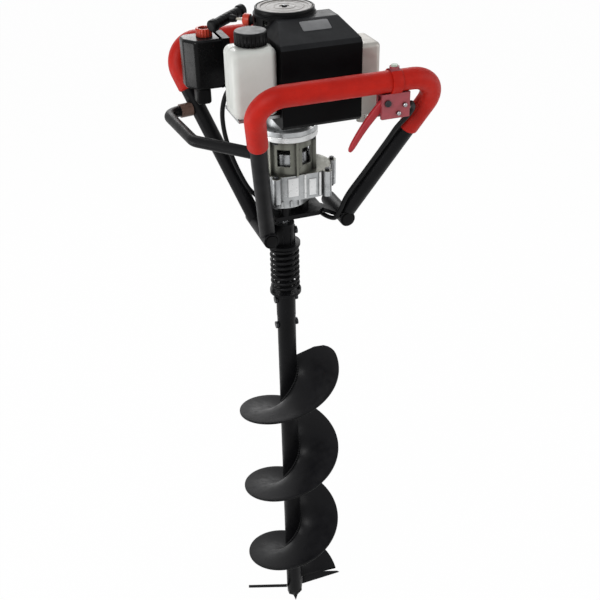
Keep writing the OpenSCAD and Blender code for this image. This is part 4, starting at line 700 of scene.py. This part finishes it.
def helical_flight():
    """A plate carried up a helix: at each angle the same flat section, with a rounded rim, from the pipe to
    the rim. At the upper end the rim draws in along an arc."""
    inner, corner = FLIGHT_R - 2, 34
    section = softened([(ROOT_R, 0), (FLIGHT_R, 0), (FLIGHT_R, FLIGHT_T), (ROOT_R, FLIGHT_T)],
                       [0, 1.6, 1.6, 0], 4)
    radial = np.concatenate([np.linspace(ROOT_R, inner, 12)[:-1], section[1:-1, 0],
                             np.linspace(inner, ROOT_R, 12)[1:]])
    height = np.concatenate([np.zeros(11), section[1:-1, 1], np.full(11, float(FLIGHT_T))])
    angle = np.linspace(0, FLIGHT_TURNS * TURN, 300)[:, None]
    left = np.clip(corner - FLIGHT_R * (angle[-1] - angle), 0, corner)
    rim = FLIGHT_R - corner + np.sqrt(corner ** 2 - left ** 2)
    radial = ROOT_R + (radial - ROOT_R) * (rim - ROOT_R) / (FLIGHT_R - ROOT_R)
    turn = angle + FLIGHT_START
    return np.stack([radial * np.cos(turn), radial * np.sin(turn), flight_z(angle) + height], -1)


def weld_bead(side):
    """A lumpy bead along the root of the flight, above or below the plate; its radius swells at an even
    pitch."""
    bead_r, lump_pitch, above, below = 18.3, 5.0, 5.6, -0.6
    first_turn, last_turn = 0.02, 3.05
    angle = np.linspace(first_turn, last_turn, 1500) * TURN
    turn = angle + FLIGHT_START
    z = flight_z(angle) + (above if side > 0 else below)
    path = np.stack([bead_r * np.cos(turn), bead_r * np.sin(turn), z], -1)
    length = angle / TURN * np.hypot(FLIGHT_PITCH, TURN * bead_r)
    radius = 2.6 + 0.35 * np.sin(TURN * length / lump_pitch)
    return carry(path, circle(1.0, 10)[None] * radius[:, None, None])


ride(add_skin("flight_plate", helical_flight(), "bit_black"), "bit", "auger_flight")
for side, name in ((1, "weld_above"), (-1, "weld_below")):
    ride(add_skin(name, weld_bead(side), "bit_black"), "bit")

SPRING_LOW_Z, SPRING_LEN, SPRING_R, WIRE_R = 857, 93, 24, 3.0


def spring_wire():
    """A wire wound round the guide rod in eight even turns, its ends straight for one wire diameter."""
    turns, rest = 8, WIRE_R + 0.1
    angle = np.linspace(0, turns, turns * 40 + 1) * TURN
    z = SPRING_LOW_Z + rest + (SPRING_LEN - 2 * rest) * angle / (turns * TURN)
    coil = np.stack([SPRING_R * np.cos(angle), SPRING_R * np.sin(angle), z], -1)
    first = coil[0] - np.array([[0, 2 * WIRE_R, 0], [0, WIRE_R, 0]])
    last = coil[-1] + np.array([[0, WIRE_R, 0], [0, 2 * WIRE_R, 0]])
    return carry(np.concatenate([first, coil, last]), circle(WIRE_R, 14))


spring = ride(add_skin("spring_wire", spring_wire(), "bit_black"), "drive", "shock_spring")
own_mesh(spring)

CORE_LOW_Z, CORE_TOP_Z, CORE_IN_R, CORE_R = 882, 949, 11.4, 18.6
core = turned([(CORE_IN_R, CORE_LOW_Z), (CORE_R, CORE_LOW_Z),
               (CORE_R, CORE_TOP_Z), (CORE_IN_R, CORE_TOP_Z)], 48)
ride(add_skin("spring_core", core, "bit_black", wrap_rows=True), "drive")


# Gear casting: the bell's rim, and pads and ribs on the front wall, in a near-white finish that paints their
# highlights

RIM_IN_R, RIM_R, RIM_LOW_Z, RIM_TOP_Z = 49, 50.7, 1160.2, 1169.8
RIM_PROFILE = softened([(RIM_IN_R, RIM_LOW_Z), (RIM_R, RIM_LOW_Z), (RIM_R, RIM_TOP_Z), (RIM_IN_R, RIM_TOP_Z)],
                       [0.2, 1.2, 1.2, 0.2], 6)
ride(add_skin("bell_rim", turned(RIM_PROFILE, 96) + ENGINE_AXIS, "highlight_casting", wrap_rows=True),
     "powerhead")
WALL_Y = -44.1
PADS = [(-5, 14, 1062, 1096), (24, 28, 1056, 1099), (33, 46, 1060, 1090), (51, 55, 1056, 1099)]
for index, (left, right, low, high) in enumerate(PADS):
    pad = rounded_box((left, WALL_Y - 1.6, low), (right, WALL_Y + 1.2, high), 1.2, 1.0)
    ride(add_skin("casting_pad_%d" % (index + 1), pad, "highlight_casting"), "powerhead")


# Fuel tank and cap

NECK_X = -68.015
TANK_MIDDLE, TANK_HALF = np.array([-70.5, -76.0]), np.array([35.5, 28.0])
TANK_LOW_Z, TANK_TOP_Z, TANK_EDGE = 1231, 1337, 11.5
CAP_R, CAP_LOW_Z, CAP_TOP_Z = 24.8, 1339, 1359


def tank_shell():
    """A rounded block whose outline, from the top inwards, turns into the round filler neck."""
    half_x, half_y = TANK_HALF
    outline = softened([(-half_x, -half_y), (half_x, -half_y), (half_x, half_y), (-half_x, half_y)], 12, 10)
    body = pillow(outline, TANK_LOW_Z, TANK_TOP_Z, TANK_EDGE, 8)
    angle = np.arctan2(body[-1, :, 1], body[-1, :, 0] - NECK_X + TANK_MIDDLE[0])
    ring = np.stack([np.cos(angle), np.sin(angle)], -1)
    offset = np.array([NECK_X - TANK_MIDDLE[0], 0])
    neck = [np.column_stack([offset + radius * ring, np.full(len(ring), z)])
            for radius, z in ((15.1, 1337.0), (14.65, 1337.4), (14.5, 1338.5), (14.5, 1350), (13.5, 1351),
                              (12, 1351), (12, 1340))]
    grid = np.concatenate([body, np.stack(neck)])
    grid[..., :2] += TANK_MIDDLE
    return grid


def tank_seam():
    """A thin ridge where the two halves of the mould met, round the tank in the plane of its middle."""
    left, right = TANK_MIDDLE[0] - TANK_HALF[0], TANK_MIDDLE[0] + TANK_HALF[0]
    outline = softened([(left, TANK_LOW_Z), (right, TANK_LOW_Z), (right, TANK_TOP_Z), (left, TANK_TOP_Z)],
                       TANK_EDGE, 12)
    outline = np.concatenate([outline, outline[:1]])
    path = np.column_stack([outline[:, 0], np.full(len(outline), TANK_MIDDLE[1]), outline[:, 1]])
    path = even_path(path, 3)[:-1]
    way = unit(np.roll(path, -1, 0) - np.roll(path, 1, 0))
    across = np.broadcast_to([0, 1.0, 0], path.shape)
    up = np.cross(way, across)
    ring = circle(0.75, 10)
    return path[:, None] + ring[:, :1] * across[:, None] + ring[:, 1:] * up[:, None]


ride(add_skin("tank_shell", tank_shell(), "tank_white"), "powerhead", "fuel_tank")
ride(add_skin("tank_seam", tank_seam(), "tank_white", wrap_rows=True), "powerhead")


def ribbed_cap():
    """A cap turned from a rounded profile, with ribs on its side that fade out at its rim and top."""
    bore_r, floor_z, count, ribs = 14.9, 1353.4, 288, 24
    profile = softened([(0.02, floor_z), (bore_r, floor_z), (bore_r, CAP_LOW_Z), (CAP_R, CAP_LOW_Z),
                        (CAP_R, CAP_TOP_Z), (0.02, CAP_TOP_Z)], [0, 0.8, 0.8, 0.8, 2.6, 0], 6, closed=False)
    side = np.linspace(1340, 1355.6, 8)
    at = np.argmax((profile[:, 0] > 24.6) & (profile[:, 1] > 1339.5))
    profile = np.concatenate([profile[:at], np.column_stack([np.full(8, CAP_R), side]), profile[at:]])
    angle = np.arange(count) * TURN / count
    rib = np.clip(1.6 * np.cos(ribs * angle), -1, 1) * 0.5 - 0.5
    from_end = np.minimum(profile[:, 1] - 1339.6, 1356.4 - profile[:, 1])
    fade = np.clip(from_end / 1.2, 0, 1) * (profile[:, 0] > 23.5)
    return turned(profile, count, 1.1 * fade[:, None] * rib[None]) + np.array([NECK_X, TANK_MIDDLE[1], 0])


ride(add_skin("ribbed_cap", ribbed_cap(), "plastic_black", sharp=50), "cap", "fuel_cap")


# Throttle lever and its bracket

LEVER_PIVOT = np.array([111, -BAR_Y, 1255.3])
BRACKET_MIDDLE = np.array([125, -BAR_Y, BAR_Z])


def lever_blade():
    """A blade along a line that bends down towards its tip; its rounded section narrows with the length."""
    length, tip_sag, drop = 92, 5, math.radians(49)
    share = np.linspace(-0.06, 1, 60)
    reach, sag = length * share, tip_sag * np.clip(share, 0, 1) ** 2.2
    out = np.array([-np.cos(drop), 0, -np.sin(drop)])
    below = np.array([np.sin(drop), 0, -np.cos(drop)])
    bow = sag - 2.0 * np.sin(np.pi * np.clip(share, 0, 1))
    path = LEVER_PIVOT + reach[:, None] * out + bow[:, None] * below
    half = np.interp(share, [-0.06, 0.08, 0.3, 0.85, 0.97, 1], [5.6, 6.9, 6.3, 4.6, 3.6, 1.6])
    thick = np.interp(share, [-0.06, 0.9, 1], [4.4, 4.0, 2.0])
    angle = np.arange(32) * TURN / 32
    square = np.stack([np.sign(np.cos(angle)) * np.abs(np.cos(angle)) ** 0.55,
                       np.sign(np.sin(angle)) * np.abs(np.sin(angle)) ** 0.55], -1)
    ring = square[None] * np.stack([thick, half], -1)[:, None]
    return carry(path, ring, side=np.array([0, 1.0, 0]))


ride(add_skin("lever_blade", lever_blade(), "plastic_red"), "lever", "throttle_lever")

SCREW_PLACES = [(129, -179.4, 1238.3), (139, -179.4, 1250.3)]
for index, place in enumerate(SCREW_PLACES):
    head = turned([(0.02, 0), (3.4, 0), (3.3, 0.9), (2.6, 1.9), (1.3, 2.4), (0.02, 2.5)], 32)
    face_front = Matrix.Translation(place) @ Matrix.Rotation(math.radians(90), 4, "X")
    ride(add_skin("bracket_screw_%d" % (index + 1), moved(head, face_front), "steel"), "powerhead")


def bracket_band():
    """A flat section turned round the bar, open by 52 degrees at the top, where the button's boss stands."""
    in_r, out_r, half, count = 17.0, 19.5, 8.2, 90
    section = softened([(in_r, -half), (out_r, -half), (out_r, half), (in_r, half)], [0.2, 0.7, 0.7, 0.2], 4)
    angle = np.radians(np.linspace(116, 424, count))[:, None]
    across = np.broadcast_to(section[:, 1], (count, len(section)))
    ring = np.stack([across, section[:, 0] * np.cos(angle), section[:, 0] * np.sin(angle)], -1)
    return ring + BRACKET_MIDDLE


ride(add_skin("bracket_band", bracket_band(), "foam_red"), "powerhead")


# Starter: grip, rope guide, disc and nut

GRIP_PLACE = (PULL_PLACE @ Matrix.Translation((100, 0, 0)) @ Matrix.Rotation(math.radians(-17), 4, "Z")
              @ Matrix.Rotation(math.radians(-8), 4, "X") @ Matrix.Rotation(math.radians(-90), 4, "X"))


def grip_body():
    """The grip's profile turned round its length: a slight belly with evenly spaced grooves between two
    collars."""
    half, end, waist_r, groove_pitch = 28, 40, 8.2, 8
    length = np.linspace(-half, half, 113)
    groove = 0.45 * np.clip(np.cos(TURN * length / groove_pitch), 0, 1) ** 6 * (np.abs(length) < 23)
    belly = np.column_stack([waist_r + 0.5 * np.cos(np.pi * length / (2 * half)) - groove, length])
    head = softened([(0.02, end), (10, end), (10, half), (waist_r, half)], [0, 4, 1.5, 0], 6, closed=False)
    low_head = head * np.array([1, -1])
    return moved(turned(np.concatenate([low_head, belly, head[::-1]]), 48), GRIP_PLACE)


def grip_stem():
    """A stem that narrows towards the rope."""
    profile = [(2.2, 83.5), (4.6, 83.5), (5.2, 84.3), (6.3, 91), (6.5, 99), (2.2, 99)]
    return moved(turned(profile, 40), ROPE_PLACE)


ride(add_skin("grip_body", grip_body(), "plastic_black"), "pull", "starter_handle")
ride(add_skin("grip_stem", grip_stem(), "plastic_black", wrap_rows=True), "pull")

GUIDE_IN_R, GUIDE_LOW, GUIDE_HIGH = 3.6, 58, 70.6
GUIDE_PROFILE = softened([(GUIDE_IN_R, GUIDE_LOW), (9.2, GUIDE_LOW), (10.2, GUIDE_HIGH),
                          (GUIDE_IN_R, GUIDE_HIGH)], [0.4, 2.2, 3.0, 1.6], 6)
ride(add_skin("rope_guide", moved(turned(GUIDE_PROFILE, 48), ROPE_PLACE), "knob_orange", wrap_rows=True),
     "powerhead")

DISC_LOW_Z, DISC_R, EDGE_IN_R, EDGE_R, EDGE_TOP_Z = 1364.1, 43.9, 44.2, 47.3, 1369.4


def starter_top():
    """The plate on the starter: a rounded rim, a shallow dish with two rings in relief, a hollow middle."""
    dish_r, hollow_r, dish_z, hollow_z = 36.8, 9, 1367.6, 1367.1
    rim = softened([(DISC_R, DISC_LOW_Z), (DISC_R, 1369), (38.5, 1368.9), (37, dish_z)], [0, 1.6, 1.2, 0], 6,
                   closed=False)
    reach = np.linspace(dish_r, hollow_r, 90)
    rings = 0.5 * np.exp(-((reach - 30) / 0.9) ** 2) + 0.5 * np.exp(-((reach - 17) / 0.9) ** 2)
    dish = np.column_stack([reach, dish_z + 0.6 * ((dish_r - reach) / (dish_r - hollow_r)) ** 2 + rings])
    middle = softened([(hollow_r, 1368.2), (8, 1368.2), (7.6, hollow_z), (0.02, hollow_z)], [0, 0.4, 0.4, 0],
                      4, closed=False)
    profile = np.concatenate([[(0.02, DISC_LOW_Z)], rim, dish, middle[1:]])
    return turned(profile, 96) + ENGINE_AXIS


ride(add_skin("starter_top", starter_top(), "disc_beige"), "powerhead", "starter_disc")
EDGE_PROFILE = softened([(EDGE_IN_R, DISC_LOW_Z), (EDGE_R, DISC_LOW_Z), (EDGE_R, EDGE_TOP_Z),
                         (EDGE_IN_R, EDGE_TOP_Z)], [0.3, 0.3, 1.5, 1.2], 6)
ride(add_skin("starter_edge", turned(EDGE_PROFILE, 96) + ENGINE_AXIS, "plastic_black", wrap_rows=True),
     "powerhead")
nut = turned([(0.02, 1367.2), (4.6, 1367.2), (4.6, 1369.6), (4.0, 1370.2), (0.02, 1370.2)], 6)
ride(add_skin("starter_nut", nut + ENGINE_AXIS, "dark_steel", sharp=20), "powerhead")


# Plugs in the ends of the feet

def foot_plug():
    """A plug for an open tube end, facing -Y: a domed head on a stub that goes into the tube."""
    profile = softened([(0.02, 2.6), (9, 2.3), (13.3, 0.1), (11.4, 0.1), (11.4, -12), (0.02, -12)],
                       [0, 12, 0.8, 0.3, 1, 0], 8, closed=False)
    return turned(profile, 48)


FEET = {"left": [(LEFT_FOOT_X, -46, LEFT_FOOT_Z), (LEFT_FOOT_X, 64, LEFT_FOOT_Z)],
        "right": [(RIGHT_FOOT_X, -52, RIGHT_FOOT_Z), (RIGHT_FOOT_X, 40, RIGHT_FOOT_Z)]}
for foot_name, ends in FEET.items():
    for end_name, place, quarter in (("front", ends[0], 90), ("rear", ends[1], -90)):
        facing = Matrix.Translation(place) @ Matrix.Rotation(math.radians(quarter), 4, "X")
        plug_name = "%s_foot_plug_%s" % (foot_name, end_name)
        ride(add_skin(plug_name, moved(foot_plug(), facing), "plastic_black"), "powerhead")


# Filter box and knob

FILTER_LOW_Z, FILTER_TOP_Z = 1229, 1311
KNOB_AXIS = np.array([-98, 88, 0])
FILTER_OUTLINE = softened([(-120, 62), (-74, 62), (-74, 114), (-128, 114), (-136, 106), (-136, 84.4)],
                          [9, 1.5, 1.5, 6, 6, 12])
ride(add_skin("filter_shell", pillow(FILTER_OUTLINE, FILTER_LOW_Z, FILTER_TOP_Z, 5), "filter_black"),
     "powerhead", "filter_cover")
sump = rounded_box((-122, 66, 1203), (-97, 92, 1231), 6, 5)
ride(add_skin("filter_sump", sump, "plastic_black"), "powerhead")


def fluted_knob():
    """A hollow knob turned from a rounded profile, with flutes on its side."""
    dish_z, rim_z, under_z, stem_z, stem_r = 1316, 1325, 1311.3, 1306, 3
    count, flutes = 192, 16
    profile = softened([(0.02, dish_z), (8.6, dish_z), (9.0, rim_z), (13.6, rim_z), (13.9, under_z),
                        (stem_r, under_z), (stem_r, stem_z), (0.02, stem_z)],
                       [0, 1, 1.2, 2, 0.8, 0.5, 0.5, 0], 6, closed=False)
    flute = 0.5 * np.cos(flutes * np.arange(count) * TURN / count) - 0.5
    depth = 0.9 * (profile[:, 0] > 12.8)
    return turned(profile, count, depth[:, None] * flute) + KNOB_AXIS


ride(add_skin("fluted_knob", fluted_knob(), "knob_orange"), "knob", "filter_knob")
# painted shade: a black disc in the knob's dish stands for the dark of its deep hollow
shade_disc = turned([(0.02, 1316.05), (8.2, 1316.05), (8.2, 1317.6), (5.6, 1318.2), (0.02, 1318.2)], 48)
ride(add_skin("knob_shade_disc", shade_disc + KNOB_AXIS, "plastic_black"), "knob")


# Blank patch on the cover, and muffler

def cover_patch():
    """A thin blank plate on the cover's front slope, which rises evenly from its front edge backwards."""
    slope_y, slope_z, slope_depth, slope_rise, sunk = -106, 1338, 54, 22, 0.05
    outline = softened([(14, -80), (60, -80), (60, -59), (14, -59)], 2.5)
    plate = pillow(outline, 0, 0.8, 0.3, 3)
    plate[..., 2] += slope_z + (plate[..., 1] - slope_y) * slope_rise / slope_depth - sunk
    return plate


ride(add_skin("blank_patch", cover_patch(), "patch_grey"), "powerhead")

MUFFLER_LOW, MUFFLER_HIGH = np.array([100.0, -74, 1198]), np.array([146.0, -8, 1316])
ride(add_skin("muffler_shell", rounded_box(MUFFLER_LOW, MUFFLER_HIGH, 9, 7), "muffler_steel"),
     "powerhead", "muffler")
MIDDLE_Z = (MUFFLER_LOW[2] + MUFFLER_HIGH[2]) / 2
seam = rounded_box((*(MUFFLER_LOW[:2] - [1, 2]), MIDDLE_Z - 2), (*(MUFFLER_HIGH[:2] + 2), MIDDLE_Z + 2),
                   10, 1.4)
ride(add_skin("muffler_seam", seam, "muffler_steel"), "powerhead")
EXHAUST_R, EXHAUST_Y, EXHAUST_Z = 11, -68, 1250
EXHAUST = np.array([(x, EXHAUST_Y, EXHAUST_Z) for x in (46.2, 75, 103)], float)
ride(add_tube("exhaust_pipe", EXHAUST, EXHAUST_R, 40, "muffler_steel"), "powerhead")
TIP_IN_R, TIP_R, TIP_LOW_Z, TIP_TOP_Z = 7, 9, 1184, 1200
TIP_AXIS = np.array([123, -54.2, 0])
TIP_PROFILE = [(TIP_IN_R, TIP_LOW_Z), (TIP_R, TIP_LOW_Z), (TIP_R, TIP_TOP_Z), (TIP_IN_R, TIP_TOP_Z)]
ride(add_skin("exhaust_tip", turned(TIP_PROFILE, 40) + TIP_AXIS, "muffler_steel", wrap_rows=True),
     "powerhead")


# Last update of the scene

bpy.context.view_layer.update()
